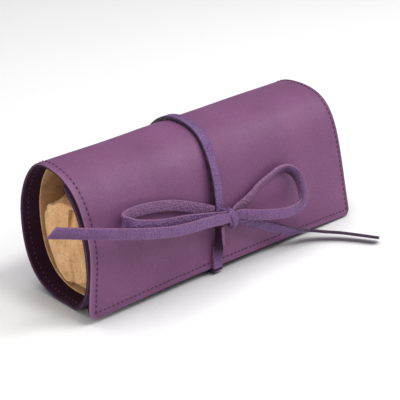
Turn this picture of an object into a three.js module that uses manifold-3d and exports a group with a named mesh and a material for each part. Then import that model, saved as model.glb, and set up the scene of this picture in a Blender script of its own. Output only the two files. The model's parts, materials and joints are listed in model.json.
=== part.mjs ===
// A rolled leather jewelry case, tied shut with a flat lace and a bow.
// Millimetres, +Z up. X runs along the roll, the flap faces -Y, and the roll lies on Z = 0.
// One long sheet starts at the inner tip of the front wall, turns under the floor,
// up the back, over the crest and down again as the flap that covers the front wall.

import * as THREE from 'three';
import { mergeVertices } from 'three/addons/utils/BufferGeometryUtils.js';
import Module from 'manifold-3d';

const wasm = await Module();
wasm.setup();

// The roll's section: Y is depth, Z is height
const ROLL_LENGTH = 210;
const HEIGHT_LEFT = 83.8;
const HEIGHT_RIGHT = 80;
const CREST_Y = 7.5;
const BACK_Y = 32.5;
const BACK_Z = 44.8;
const FLOOR_BACK_Y = 9;
const FLOOR_FRONT_Y = -13;
const WALL_Y = -29;
const WALL_Z = 26;
const TIP_Y = -7.3;
const TIP_BELOW_CREST = 7.2;
const HEM_LEFT_Y = -35;
const HEM_LEFT_Z = 2.6;
const HEM_RIGHT_Y = -41.2;
const HEM_RIGHT_Z = 0.5;
const HEM_ARCH_HEIGHT = 2;
const HEM_RISE_HEIGHT_LEFT = 58;
const HEM_RISE_HEIGHT_RIGHT = 55;
const HEM_LEAN_DEPTH_RIGHT = 14.7;
const FLAP_SWEEP_LENGTH_LEFT = 30.8;
const FLAP_SWEEP_LENGTH_RIGHT = 35;
const BEND_ROUND_SHARE = 0.5;
const HEEL_ROUND_SHARE = 0.42;
const CROWN_WALL_SHARE_LEFT = 0.5;
const CROWN_WALL_SHARE_RIGHT = 0.79;
const CROWN_TOP_SHARE_LEFT = 0.5;
const CROWN_TOP_SHARE_RIGHT = 0.88;
const WALL_TIP_LEAN_SHARE_LEFT = 0.56;
const WALL_TIP_LEAN_SHARE_RIGHT = 0.46;
const WALL_TIP_DROP_SHARE = 0.095;
const WALL_FOOT_RISE_SHARE_LEFT = 0.48;
const WALL_FOOT_RISE_SHARE_RIGHT = 0.3;

// Where the sheet folds when it is unrolled, as shares of the curves that it follows
const FRONT_FOLD_SHARE = 0.5;
const HEEL_FOLD_SHARE = 0.2;
const BACK_FOLD_SHARE = 0.66;
const CROWN_FOLD_SHARE = 0.32;
const CREST_FOLD_SHARE = 0.8;
const FLAP_FOLD_SHARE = 0.35;

// The plies of the sheet, and the gaps that let them turn at a fold
const LEATHER_THICKNESS = 1.2;
const FACING_THICKNESS = 0.7;
const LINING_THICKNESS = 0.7;
const PLY_GAP = 0.3;
const FOLD_GAP = 0.3;
const BORDER_WIDTH = 12;
const CORNER_RADIUS = 5;

// The lace: a flat strip, tied round the roll
const LACE_WIDTH = 6.5;
const LACE_THICKNESS = 2;
const LACE_CHAMFER = 0.5;
const LACE_GAP = 0.3;
const LACE_CREST_X = -6;
const LACE_BACK_X = -12;
const LACE_FLOOR_X = -15;
const LACE_HEM_X = -15;
const LACE_SHOULDER_X = -3.5;
const LACE_BELOW_KNOT_X = -6.5;
const LACE_TURN_RADIUS = 2.6;
const LACE_BREAK = 0.9;
const LACE_FOLD_GAP = 0.8;
const GROOVE_SLOPE = 4;
const TAIL_CUT = 5.5;

// The knot
const KNOT_X = -1;
const KNOT_Y = -38.5;
const KNOT_Z = 34;
const KNOT_HALF_X = 4.8;
const KNOT_HALF_Y = 4.6;
const KNOT_HALF_Z = 6;
const KNOT_TILT = 0.42 * Math.PI;

// The two zipped pouches, back to back inside the roll
const POUCH_HALF_LENGTH = 94;
const POUCH_END_DRAW = 12;
const POUCH_END_SOFT_SHARE = 0.9;
const POUCH_END_NARROW_SHARE = 0.6;
const POUCH_SPLIT_Y = 8.3;
const POUCH_GAP = 0.7;
const POUCH_CROWN = 2;
const POUCH_CORNER = 3.5;
const FRONT_POUCH_BELOW_CREST = 22;
const BACK_POUCH_BELOW_CREST = 27.5;
const POUCH_BOTTOM_GAP = 0.8;

// The zips on the pouches' top faces
const ZIP_FROM_POUCH_END = 19;
const ZIP_TAPE_WIDTH = 4.4;
const ZIP_TAPE_THICKNESS = 0.6;
const ZIP_TAPE_SLIT = 0.6;
const ZIP_GAP = 0.3;
const FRONT_ZIP_INWARD = 3;
const TOOTH_PITCH = 3;
const TOOTH_WIDTH = 1.1;
const TOOTH_REACH_LENGTH = 0.8;
const TOOTH_HEIGHT = 1.4;
const BEAD_INNER = 1.2;
const BEAD_WIDTH = 1.1;
const STOP_LENGTH = 2.4;
const SLIDER_FROM_END = 9;
const SLIDER_LENGTH = 9;
const SLIDER_WALL = 1.1;
const BAIL_LENGTH = 6;
const BAIL_HEIGHT = 3.6;
const BAIL_WIDTH = 2;
const BAIL_BAR = 1.1;
const PULL_LENGTH = 9.5;
const PULL_WIDTH = 4.6;
const PULL_THICKNESS = 1;
const PULL_BAR = 0.9;
const PULL_WINDOW = 4.5;

// The ring bar under the crest, on a sewn tab at one end and a snap at the other
const RING_BAR_Y = 8;
const RING_BAR_RADIUS = 6;
const RING_BAR_HALF_LENGTH = 48;
const RING_BAR_HEADROOM = 0.6;
const RING_BAR_CROWN = 2;
const TAB_WIDTH = 9;
const TAB_THICKNESS = 1.2;
const TAB_FOOT = 11;
const TAB_GAP = 0.3;
const SNAP_RADIUS = 4;
const SNAP_POST_RADIUS = 1.7;
const SNAP_FLANGE = 0.6;

// Routes of the free lace, as points chosen along the bow: [x, y, z]
const LOOP_LEFT_ROUTE = [
  [-6.7, -35.8, 36.2], [-13.5, -35.6, 39.5], [-24.5, -34, 44.5], [-43.5, -32, 52], [-59.5, -31, 55.5],
  [-71.5, -31.2, 57], [-80.5, -33, 57.5], [-83.9, -35.6, 57.2], [-81.5, -38.2, 55.4], [-74.5, -39, 52.2],
  [-58.5, -39.8, 47.6], [-40.5, -39.9, 44.2], [-23.5, -39.6, 39.8], [-13.5, -39.1, 37.2],
  [-6.7, -38.5, 35.4],
];
const TAIL_LEFT_ROUTE = [
  [-6.7, -41.3, 35], [-15.5, -43.2, 37.6], [-27.5, -44.6, 40.2], [-42.5, -45.1, 42], [-56, -44.6, 44],
  [-74.5, -43, 48.5], [-96.5, -39.2, 54.4], [-111, -36.2, 58], [-122.5, -34.4, 61], [-133, -33.2, 63.5],
];
const LOOP_RIGHT_ROUTE = [
  [4.7, -35.8, 35.6], [9.5, -35.6, 37], [15.5, -35.2, 39.4], [24.5, -34, 43.4], [34.5, -33.1, 46.2],
  [43.5, -32.6, 48], [51, -33.6, 47.2], [55.3, -36.8, 43], [55.5, -41.6, 36.6], [52, -45.4, 30.4],
  [45.5, -47, 28], [35.5, -47, 27.7], [23.5, -45.6, 29.2], [13.2, -43.2, 31.6], [4.7, -40.2, 34.4],
];
const TAIL_RIGHT_ROUTE = [
  [4.7, -37.6, 29.6], [11.5, -39.6, 26.2], [19.5, -41.4, 21.8], [33.1, -43.8, 15], [46.1, -45.8, 10],
  [59, -48.7, 6.7], [66.4, -53.6, 5.2], [73.3, -59.9, 4.4], [79.8, -68.6, 3.8], [86.6, -80.2, 3.6],
];

// Width directions of the lace: upright, outward where the right loop turns over between two of its points,
// and where the right tail lies on edge
const UPRIGHT = [0, 0.15, 1];
const LOOP_RIGHT_OUTWARD = [0.83, -0.46, 0.3];
const LOOP_RIGHT_TURN_FROM = 4.5;
const LOOP_RIGHT_TURN_TO = 10;
const TAIL_EDGE_ON = [-0.6, -0.65, 0.42];
const TAIL_EDGE_ON_FROM = 4;

const COLOURS = {
  leather: { color: 0x7a5476, roughness: 0.5, metalness: 0 },
  facing: { color: 0x2d192d, roughness: 0.7, metalness: 0 },
  suede: { color: 0xcda069, roughness: 0.95, metalness: 0 },
  lace: { color: 0x735591, roughness: 0.55, metalness: 0 },
  tape: { color: 0xa27a4c, roughness: 0.9, metalness: 0 },
  brass: { color: 0xc9a55a, roughness: 0.3, metalness: 1 },
};

const HALF_LENGTH = ROLL_LENGTH / 2;
const ZIP_HALF_LENGTH = POUCH_HALF_LENGTH - ZIP_FROM_POUCH_END;
const FRONT_POUCH_TOP = Math.min(HEIGHT_LEFT, HEIGHT_RIGHT) - FRONT_POUCH_BELOW_CREST;
const BACK_POUCH_TOP = Math.min(HEIGHT_LEFT, HEIGHT_RIGHT) - BACK_POUCH_BELOW_CREST;
const SLIDER_REST_X = ZIP_HALF_LENGTH - SLIDER_FROM_END;
const COVER_PLY = [0, LEATHER_THICKNESS];
const FACING_PLY = [LEATHER_THICKNESS + PLY_GAP, LEATHER_THICKNESS + PLY_GAP + FACING_THICKNESS];
const LINING_PLY = [FACING_PLY[1] + PLY_GAP, FACING_PLY[1] + PLY_GAP + LINING_THICKNESS];
const SHEET_DEPTH = LINING_PLY[1];
const GROOVE_DEPTH = LACE_THICKNESS + 2 * LACE_GAP;
const GROOVE_HALF = LACE_WIDTH / 2 + GROOVE_SLOPE / 2;
const LACE_CENTRE_DEPTH = -(LACE_GAP + LACE_THICKNESS / 2);
const ZIP_TEETH_BASE = ZIP_GAP + ZIP_TAPE_THICKNESS + ZIP_GAP;
const SLIDER_TOP = ZIP_TEETH_BASE + TOOTH_HEIGHT + ZIP_GAP + SLIDER_WALL;
const PULL_AXIS_HEIGHT = SLIDER_TOP + (BAIL_HEIGHT - BAIL_BAR) / 2;

// How finely round stretches are divided
const SHEET_COLUMNS = [-1, -0.5, 0, 0.5, 1];
const CORNER_STEPS = 3;
const STRETCH_STEPS = 24;
const INSIDE_STEPS = 60;
const FLAP_LACE_ROWS = 6;
const TURN_STEPS = 4;
const KNOT_ROWS = 7;
const KNOT_SIDES = 10;
const LOOP_STEPS = 36;
const TAIL_LEFT_STEPS = 20;
const TAIL_RIGHT_STEPS = 24;
const POUCH_ROWS = 12;
const POUCH_STATIONS = [0, 0.3, 0.6, 0.88, 0.93, 0.97, 1];
const TURNED_SIDES = 16;

const { lerp, clamp, smoothstep } = THREE.MathUtils;
const roll = new THREE.Group();

function addPart(name, geometry, finish, place = [0, 0, 0]) {
  const mesh = new THREE.Mesh(geometry, new THREE.MeshStandardMaterial(COLOURS[finish]));
  mesh.name = name;
  mesh.position.set(...place);
  roll.add(mesh);
}

// Solids from rings of points

function signedVolume(points, faces) {
  let volume = 0;
  for (const [a, b, c] of faces) {
    volume += points[a].dot(points[b].clone().cross(points[c])) / 6;
  }
  return volume;
}

function loft(rings) {
  const count = rings[0].length;
  const points = rings.flat();
  const faces = [];
  // A quad is creased along its shorter diagonal, so that neighbouring plies crease alike
  const quad = (a, b, c, d) => {
    const shortFirst = points[a].distanceTo(points[c]) < points[b].distanceTo(points[d]);
    if (shortFirst) faces.push([a, b, c], [a, c, d]);
    else faces.push([a, b, d], [b, c, d]);
  };
  for (let row = 0; row + 1 < rings.length; row += 1) {
    for (let i = 0; i < count; i += 1) {
      const next = (i + 1) % count;
      quad(row * count + i, row * count + next, (row + 1) * count + next, (row + 1) * count + i);
    }
  }
  const last = (rings.length - 1) * count;
  for (let i = 0; i + 1 < count / 2; i += 1) {
    quad(i, count - 1 - i, count - 2 - i, i + 1);
    quad(last + i, last + i + 1, last + count - 2 - i, last + count - 1 - i);
  }
  const outward = signedVolume(points, faces) > 0;
  const geometry = new THREE.BufferGeometry();
  const positions = points.flatMap((point) => [point.x, point.y, point.z]);
  geometry.setAttribute('position', new THREE.Float32BufferAttribute(positions, 3));
  geometry.setIndex(faces.flatMap((face) => (outward ? face : [...face].reverse())));
  return geometry;
}

function asSolid(geometry) {
  const bare = geometry.clone();
  bare.deleteAttribute('normal');
  bare.deleteAttribute('uv');
  const merged = mergeVertices(bare);
  const vertProperties = new Float32Array(merged.attributes.position.array);
  const triVerts = new Uint32Array(merged.index.array);
  return new wasm.Manifold(new wasm.Mesh({ numProp: 3, vertProperties, triVerts }));
}

function join(first, second) {
  const mesh = asSolid(first).add(asSolid(second)).getMesh();
  const geometry = new THREE.BufferGeometry();
  geometry.setAttribute('position', new THREE.BufferAttribute(new Float32Array(mesh.vertProperties), 3));
  geometry.setIndex([...mesh.triVerts]);
  return geometry;
}

function extrude(shape, depth, curveSegments = 4) {
  return new THREE.ExtrudeGeometry(shape, { depth, bevelEnabled: false, curveSegments });
}

// The sheet's outer surface, as curves from the inner tip to the hem

function sectionCurves(x) {
  const along = (x + HALF_LENGTH) / ROLL_LENGTH;
  const crestZ = lerp(HEIGHT_LEFT, HEIGHT_RIGHT, along);
  const tipZ = crestZ - TIP_BELOW_CREST;
  const tipLean = lerp(WALL_TIP_LEAN_SHARE_LEFT, WALL_TIP_LEAN_SHARE_RIGHT, along);
  const footRise = lerp(WALL_FOOT_RISE_SHARE_LEFT, WALL_FOOT_RISE_SHARE_RIGHT, along);
  const hemY = lerp(HEM_LEFT_Y, HEM_RIGHT_Y, along);
  const hemZ = lerp(HEM_LEFT_Z, HEM_RIGHT_Z, along) + HEM_ARCH_HEIGHT * Math.sin(Math.PI * along);
  const leanY = HEM_LEAN_DEPTH_RIGHT * along;
  const sweepY = lerp(FLAP_SWEEP_LENGTH_LEFT, FLAP_SWEEP_LENGTH_RIGHT, along);
  const crownWall = lerp(CROWN_WALL_SHARE_LEFT, CROWN_WALL_SHARE_RIGHT, along);
  const crownTop = lerp(CROWN_TOP_SHARE_LEFT, CROWN_TOP_SHARE_RIGHT, along);
  const riseZ = lerp(HEM_RISE_HEIGHT_LEFT, HEM_RISE_HEIGHT_RIGHT, along);
  const round = BEND_ROUND_SHARE;
  const heel = HEEL_ROUND_SHARE;
  const curve = (...points) => new THREE.CubicBezierCurve(...points.map(([y, z]) => new THREE.Vector2(y, z)));
  const straight = (share) => [lerp(FLOOR_FRONT_Y, FLOOR_BACK_Y, share), 0];
  return {
    wall: curve(
      [TIP_Y, tipZ],
      [lerp(TIP_Y, WALL_Y, tipLean), lerp(tipZ, WALL_Z, WALL_TIP_DROP_SHARE)],
      [WALL_Y, lerp(WALL_Z, tipZ, footRise)],
      [WALL_Y, WALL_Z],
    ),
    frontBend: curve(
      [WALL_Y, WALL_Z],
      [WALL_Y, WALL_Z * (1 - round)],
      [lerp(FLOOR_FRONT_Y, WALL_Y, round), 0],
      [FLOOR_FRONT_Y, 0],
    ),
    floor: curve(straight(0), straight(1 / 3), straight(2 / 3), straight(1)),
    rearBend: curve(
      [FLOOR_BACK_Y, 0],
      [lerp(FLOOR_BACK_Y, BACK_Y, heel), 0],
      [BACK_Y, BACK_Z * (1 - heel)],
      [BACK_Y, BACK_Z],
    ),
    crown: curve(
      [BACK_Y, BACK_Z],
      [BACK_Y, lerp(BACK_Z, crestZ, crownWall)],
      [lerp(CREST_Y, BACK_Y, crownTop), crestZ],
      [CREST_Y, crestZ],
    ),
    flap: curve(
      [CREST_Y, crestZ],
      [CREST_Y - sweepY, crestZ],
      [hemY + leanY, hemZ + riseZ],
      [hemY, hemZ],
    ),
  };
}

// Each panel runs from fold to fold: curve, from, to and rows for each of its stretches
const PANELS = {
  front: [['wall', 0, 1, 7], ['frontBend', 0, FRONT_FOLD_SHARE, 3]],
  bottom: [['frontBend', FRONT_FOLD_SHARE, 1, 3], ['floor', 0, 1, 1], ['rearBend', 0, HEEL_FOLD_SHARE, 2]],
  heel: [['rearBend', HEEL_FOLD_SHARE, BACK_FOLD_SHARE, 5]],
  back: [['rearBend', BACK_FOLD_SHARE, 1, 4], ['crown', 0, CROWN_FOLD_SHARE, 4]],
  crown: [['crown', CROWN_FOLD_SHARE, CREST_FOLD_SHARE, 5]],
  top: [['crown', CREST_FOLD_SHARE, 1, 3], ['flap', 0, FLAP_FOLD_SHARE, 5]],
  flap: [['flap', FLAP_FOLD_SHARE, 1, 11]],
};
const FREE_END = { front: 'start', flap: 'end' };
const GROOVED = ['bottom', 'heel'];

// A panel's outer line at one X, measured along its length
function panelLine(panel, x) {
  const curves = sectionCurves(x);
  const stations = [];
  const starts = [];
  let length = 0;
  for (const [name, from, to] of PANELS[panel]) {
    starts.push(length);
    for (let i = 0; i <= STRETCH_STEPS; i += 1) {
      const t = lerp(from, to, i / STRETCH_STEPS);
      const point = curves[name].getPoint(t);
      const tangent = curves[name].getTangent(t);
      const before = stations.at(-1);
      if (before) length += point.distanceTo(before.point);
      if (!before || point.distanceTo(before.point) > 0) stations.push({ point, tangent, length });
    }
  }
  return { stations, length, starts: [...starts, length] };
}

function grooveLift(panel, x, z) {
  if (!GROOVED.includes(panel)) return 0;
  const away = Math.abs(x - LACE_FLOOR_X);
  const share = clamp((GROOVE_HALF + GROOVE_SLOPE - away) / GROOVE_SLOPE, 0, 1);
  return share * Math.max(0, GROOVE_DEPTH - z);
}

// A point of the sheet: how far along the panel, and how deep below the outer surface
function sheetPoint(panel, x, distance, depth) {
  const { stations } = panelLine(panel, x);
  let index = stations.findIndex((station) => station.length >= distance);
  if (index < 0) index = stations.length - 1;
  index = Math.max(index, 1);
  const before = stations[index - 1];
  const after = stations[index];
  const share = (distance - before.length) / (after.length - before.length);
  const point = before.point.clone().lerp(after.point, share);
  const tangent = before.tangent.clone().lerp(after.tangent, share).normalize();
  const lift = grooveLift(panel, x, point.y);
  return new THREE.Vector3(x, point.x - tangent.y * depth, point.y + tangent.x * depth + lift);
}

// Half the sheet's length in X, at a distance from a free edge with rounded corners
function cornerReach(halfLength, fromEdge) {
  if (fromEdge >= CORNER_RADIUS) return halfLength;
  const rise = CORNER_RADIUS - Math.max(0, fromEdge);
  return halfLength - CORNER_RADIUS + Math.sqrt(CORNER_RADIUS ** 2 - rise ** 2);
}

// Rows of a panel, at the ends of its stretches and closer together at a rounded free edge
function panelRows(panel, inset) {
  const { starts, length } = panelLine(panel, 0);
  const free = FREE_END[panel];
  const rows = [];
  PANELS[panel].forEach(([, , , count], stretch) => {
    for (let i = stretch === 0 ? 0 : 1; i <= count; i += 1) rows.push({ stretch, share: i / count });
  });
  if (!free) return rows;
  const kept = rows.filter(({ stretch, share }) => {
    const distance = lerp(starts[stretch], starts[stretch + 1], share);
    return (free === 'start' ? distance : length - distance) >= inset + CORNER_RADIUS;
  });
  const cornerRows = [];
  for (let i = 0; i < CORNER_STEPS; i += 1) {
    cornerRows.push({ edge: CORNER_RADIUS * (1 - Math.cos((i / CORNER_STEPS) * (Math.PI / 2))) });
  }
  return free === 'start' ? [...cornerRows, ...kept] : [...kept, ...cornerRows.reverse()];
}

// How far along the panel a row stands at one X, short of the folds by half a gap
function rowDistance(panel, x, { stretch, share, edge }, inset, gap) {
  const { starts, length } = panelLine(panel, x);
  if (edge !== undefined) return FREE_END[panel] === 'start' ? inset + edge : length - inset - edge;
  return clamp(lerp(starts[stretch], starts[stretch + 1], share), gap / 2, length - gap / 2);
}

function panelColumns(panel, halfLength) {
  if (!GROOVED.includes(panel)) return SHEET_COLUMNS;
  const steps = [GROOVE_HALF + GROOVE_SLOPE, GROOVE_HALF, -GROOVE_HALF, -GROOVE_HALF - GROOVE_SLOPE];
  const grooveColumns = steps.map((step) => (LACE_FLOOR_X - step) / halfLength);
  return [-1, ...grooveColumns, 1];
}

function panelSheet(panel, [outer, inner], inset) {
  const halfLength = HALF_LENGTH - inset;
  const columns = panelColumns(panel, halfLength);
  const rings = panelRows(panel, inset).map((row) => {
    const reach = cornerReach(halfLength, row.edge ?? CORNER_RADIUS);
    const place = (column, depth) => {
      const x = column * reach;
      return sheetPoint(panel, x, rowDistance(panel, x, row, inset, FOLD_GAP), depth);
    };
    const outerSide = columns.map((column) => place(column, outer));
    const innerSide = columns.map((column) => place(column, inner)).reverse();
    return [...outerSide, ...innerSide];
  });
  return loft(rings);
}

function buildSheets() {
  for (const panel of Object.keys(PANELS)) {
    addPart(`cover_${panel}`, panelSheet(panel, COVER_PLY, 0), 'leather');
    addPart(`facing_${panel}`, panelSheet(panel, FACING_PLY, 0), 'facing');
    addPart(`lining_${panel}`, panelSheet(panel, LINING_PLY, BORDER_WIDTH), 'suede');
  }
}

// Flat lace along a line of centres, with a width direction at each

function laceSection(centre, tangent, widthHint, cut) {
  const width = widthHint.clone().addScaledVector(tangent, -widthHint.dot(tangent)).normalize();
  const across = tangent.clone().cross(width);
  const w = LACE_WIDTH / 2;
  const t = LACE_THICKNESS / 2;
  const c = LACE_CHAMFER;
  const corners = [
    [w - c, t], [w, t - c], [w, c - t], [w - c, -t],
    [c - w, -t], [-w, c - t], [-w, t - c], [c - w, t],
  ];
  return corners.map(([a, b]) => centre.clone()
    .addScaledVector(width, a)
    .addScaledVector(across, b)
    .addScaledVector(tangent, (cut * a) / LACE_WIDTH));
}

function laceStrip(centres, hints, cutEnd = 0) {
  const last = centres.length - 1;
  const rings = centres.map((centre, i) => {
    const before = centres[Math.max(0, i - 1)];
    const after = centres[Math.min(last, i + 1)];
    const tangent = after.clone().sub(before).normalize();
    return laceSection(centre, tangent, hints[i], i === last ? cutEnd : 0);
  });
  return loft(rings);
}

function freeLace(route, hints, steps, cutEnd = 0) {
  const curve = new THREE.CatmullRomCurve3(route.map((point) => new THREE.Vector3(...point)));
  const centres = [];
  const widths = [];
  for (let i = 0; i <= steps; i += 1) {
    const at = (i / steps) * (route.length - 1);
    const from = Math.min(Math.floor(at), route.length - 2);
    const start = new THREE.Vector3(...hints[from]);
    const end = new THREE.Vector3(...hints[from + 1]);
    centres.push(curve.getPoint(i / steps));
    widths.push(start.lerp(end, at - from));
  }
  return laceStrip(centres, widths, cutEnd);
}

const ALONG_ROLL = new THREE.Vector3(1, 0, 0);

// The lace lying on a whole panel, bent at the panel's own rows
function lacedRows(panel, xFrom, xTo) {
  return panelRows(panel, 0).map((row) => {
    const { length } = panelLine(panel, xFrom);
    const along = rowDistance(panel, xFrom, row, 0, LACE_FOLD_GAP) / length;
    const x = lerp(xFrom, xTo, smoothstep(along, 0, 1));
    return sheetPoint(panel, x, rowDistance(panel, x, row, 0, LACE_FOLD_GAP), LACE_CENTRE_DEPTH);
  });
}

// The lace lying on part of the flap, from one X to another
function lacedFlap(from, to, xFrom, xTo) {
  const centres = [];
  for (let i = 0; i <= FLAP_LACE_ROWS; i += 1) {
    const share = i / FLAP_LACE_ROWS;
    const x = lerp(xFrom, xTo, smoothstep(share, 0, 1));
    const { length } = panelLine('flap', x);
    const distance = lerp(from * length + LACE_FOLD_GAP / 2, to * length - LACE_FOLD_GAP / 2, share);
    centres.push(sheetPoint('flap', x, distance, LACE_CENTRE_DEPTH));
  }
  return centres;
}

// Share of the flap's length at which the outer surface passes a height
function flapShareAt(x, z) {
  const { stations, length } = panelLine('flap', x);
  const reached = stations.find((station) => station.point.y <= z);
  return reached.length / length;
}

// The X at which the lace enters and leaves each panel behind the flap
const LACE_RUNS = {
  heel: [LACE_FLOOR_X, LACE_FLOOR_X],
  back: [LACE_FLOOR_X, LACE_BACK_X],
  crown: [LACE_BACK_X, LACE_BACK_X],
  top: [LACE_BACK_X, LACE_CREST_X],
};

function buildWraps() {
  const strip = (centres) => laceStrip(centres, centres.map(() => ALONG_ROLL));
  for (const [panel, [xFrom, xTo]] of Object.entries(LACE_RUNS)) {
    addPart(`lace_${panel}`, strip(lacedRows(panel, xFrom, xTo)), 'lace');
  }
  const shoulder = flapShareAt(LACE_SHOULDER_X, KNOT_Z + KNOT_HALF_Z + LACE_GAP);
  const below = flapShareAt(LACE_HEM_X, KNOT_Z - KNOT_HALF_Z - LACE_GAP);
  const upper = lacedFlap(0, shoulder, LACE_CREST_X, LACE_SHOULDER_X);
  const lower = lacedFlap(below, 1, LACE_BELOW_KNOT_X, LACE_HEM_X);
  addPart('lace_upper', strip(upper), 'lace');
  addPart('lace_lower', strip(lower), 'lace');
  addPart('lace_under', strip(underRoute(lower.at(-1))), 'lace');
}

// From the hem the lace turns down to the floor, runs under the roll in its groove, and rises behind
function underRoute(hemCentre) {
  const floorZ = GROOVE_DEPTH + LACE_CENTRE_DEPTH;
  const startZ = hemCentre.z - LACE_BREAK;
  const radius = Math.min(LACE_TURN_RADIUS, startZ - floorZ);
  const centres = [];
  for (let i = 0; i <= TURN_STEPS; i += 1) {
    const angle = (i / TURN_STEPS) * (Math.PI / 2);
    const y = hemCentre.y + radius * (1 - Math.cos(angle));
    const z = startZ - (startZ - floorZ) * Math.sin(angle);
    centres.push(new THREE.Vector3(LACE_HEM_X, y, z));
  }
  const underRoll = panelRows('bottom', 0).filter((row) => row.stretch > 0);
  for (const row of [{ stretch: 1, share: 0 }, ...underRoll]) {
    const distance = rowDistance('bottom', LACE_FLOOR_X, row, 0, LACE_FOLD_GAP);
    centres.push(sheetPoint('bottom', LACE_FLOOR_X, distance, LACE_CENTRE_DEPTH));
  }
  return centres;
}

function buildKnot() {
  const rings = [];
  for (let row = 0; row < KNOT_ROWS; row += 1) {
    const tilt = lerp(-KNOT_TILT, KNOT_TILT, row / (KNOT_ROWS - 1));
    const girth = Math.sqrt(Math.cos(tilt));
    const z = KNOT_HALF_Z * Math.sin(tilt) / Math.sin(KNOT_TILT);
    const ring = [];
    for (let i = 0; i < KNOT_SIDES; i += 1) {
      const angle = ((i + 0.5) / KNOT_SIDES) * 2 * Math.PI;
      const x = KNOT_HALF_X * girth * Math.cos(angle);
      const y = KNOT_HALF_Y * girth * Math.sin(angle);
      ring.push(new THREE.Vector3(x, y, z));
    }
    rings.push(ring);
  }
  addPart('knot', loft(rings), 'lace', [KNOT_X, KNOT_Y, KNOT_Z]);
}

function buildBow() {
  const upright = (route) => route.map(() => UPRIGHT);
  const turned = LOOP_RIGHT_ROUTE.map((point, i) => {
    const turn = Math.PI * smoothstep(i, LOOP_RIGHT_TURN_FROM, LOOP_RIGHT_TURN_TO);
    return UPRIGHT.map((up, axis) => up * Math.cos(turn) + LOOP_RIGHT_OUTWARD[axis] * Math.sin(turn));
  });
  const twisted = TAIL_RIGHT_ROUTE.map((point, i) => (i < TAIL_EDGE_ON_FROM ? UPRIGHT : TAIL_EDGE_ON));
  addPart('bow_loop_left', freeLace(LOOP_LEFT_ROUTE, upright(LOOP_LEFT_ROUTE), LOOP_STEPS), 'lace');
  addPart('bow_loop_right', freeLace(LOOP_RIGHT_ROUTE, turned, LOOP_STEPS), 'lace');
  const tailLeft = freeLace(TAIL_LEFT_ROUTE, upright(TAIL_LEFT_ROUTE), TAIL_LEFT_STEPS, -TAIL_CUT);
  addPart('bow_tail_left', tailLeft, 'lace');
  addPart('bow_tail_right', freeLace(TAIL_RIGHT_ROUTE, twisted, TAIL_RIGHT_STEPS), 'lace');
  buildKnot();
}

// Pouches: padded bags that follow the wall they are sewn to

// Where the inside of the roll stands at a height and an X, clear of the lining, on one side of the split
function insideY(panels, z, side, x) {
  const depth = SHEET_DEPTH + POUCH_GAP;
  let nearest = null;
  for (const panel of panels) {
    const { length } = panelLine(panel, x);
    for (let i = 0; i <= INSIDE_STEPS; i += 1) {
      const point = sheetPoint(panel, x, (i / INSIDE_STEPS) * length, depth);
      const onSide = (point.y - POUCH_SPLIT_Y) * side > 0;
      const nearer = !nearest || Math.abs(point.z - z) < Math.abs(nearest.z - z);
      if (onSide && nearer) nearest = point;
    }
  }
  return nearest.y;
}

function pouchRing(x, bottom, top, leftAt, rightAt) {
  const endShare = clamp((Math.abs(x) - ZIP_HALF_LENGTH) / (POUCH_HALF_LENGTH - ZIP_HALF_LENGTH), 0, 1);
  const draw = POUCH_END_DRAW * (1 - Math.sqrt(1 - POUCH_END_SOFT_SHARE * endShare ** 2));
  const narrowing = POUCH_END_NARROW_SHARE * draw;
  const left = [];
  const right = [];
  for (let i = 0; i < POUCH_ROWS; i += 1) {
    const share = (1 + Math.cos((i / (POUCH_ROWS - 1)) * Math.PI)) / 2;
    const z = lerp(bottom, top, share);
    const fromEnd = Math.min(z - bottom, top - z);
    const rise = Math.max(0, POUCH_CORNER - fromEnd);
    const corner = POUCH_CORNER - Math.sqrt(POUCH_CORNER ** 2 - rise ** 2);
    const middle = (bottom + top) / 2;
    const lowering = Math.min(draw, POUCH_END_NARROW_SHARE * Math.abs(middle - z));
    const shrunkZ = z + Math.sign(middle - z) * lowering;
    left.push(new THREE.Vector3(x, leftAt(z, x) + corner + narrowing, shrunkZ));
    right.push(new THREE.Vector3(x, rightAt(z, x) - corner - narrowing, shrunkZ));
  }
  return [...left, ...right.reverse()];
}

function pouch(bottom, top, leftAt, rightAt) {
  const behind = POUCH_STATIONS.slice(1).reverse().map((at) => -at);
  const stations = [...behind, ...POUCH_STATIONS];
  return loft(stations.map((at) => pouchRing(at * POUCH_HALF_LENGTH, bottom, top, leftAt, rightAt)));
}

function crownDraw(z, bottom, top) {
  return POUCH_CROWN * (1 - Math.sin(((z - bottom) / (top - bottom)) * Math.PI));
}

const FRONT_POUCH_BOTTOM = SHEET_DEPTH + GROOVE_DEPTH + POUCH_BOTTOM_GAP;
const BACK_POUCH_BOTTOM = SHEET_DEPTH + GROOVE_DEPTH + 2 * POUCH_CORNER;

function buildPouches() {
  const frontLeft = (z, x) => insideY(['front', 'bottom'], z, -1, x);
  const frontRight = (z) => POUCH_SPLIT_Y - POUCH_GAP - crownDraw(z, FRONT_POUCH_BOTTOM, FRONT_POUCH_TOP);
  const backLeft = (z) => POUCH_SPLIT_Y + POUCH_GAP + crownDraw(z, BACK_POUCH_BOTTOM, BACK_POUCH_TOP);
  const backRight = (z, x) => insideY(['bottom', 'heel', 'back'], z, 1, x);
  addPart('front_pouch', pouch(FRONT_POUCH_BOTTOM, FRONT_POUCH_TOP, frontLeft, frontRight), 'suede');
  addPart('back_pouch', pouch(BACK_POUCH_BOTTOM, BACK_POUCH_TOP, backLeft, backRight), 'suede');
  const frontMiddleY = (frontLeft(FRONT_POUCH_TOP, 0) + frontRight(FRONT_POUCH_TOP)) / 2;
  const backZipY = (backLeft(BACK_POUCH_TOP) + backRight(BACK_POUCH_TOP, 0)) / 2;
  buildZip('front', frontMiddleY + FRONT_ZIP_INWARD, FRONT_POUCH_TOP);
  buildZip('back', backZipY, BACK_POUCH_TOP);
}

// Zips: tapes, interlocking rows of teeth, end stops, a slider with its bail, and a pull

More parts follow.
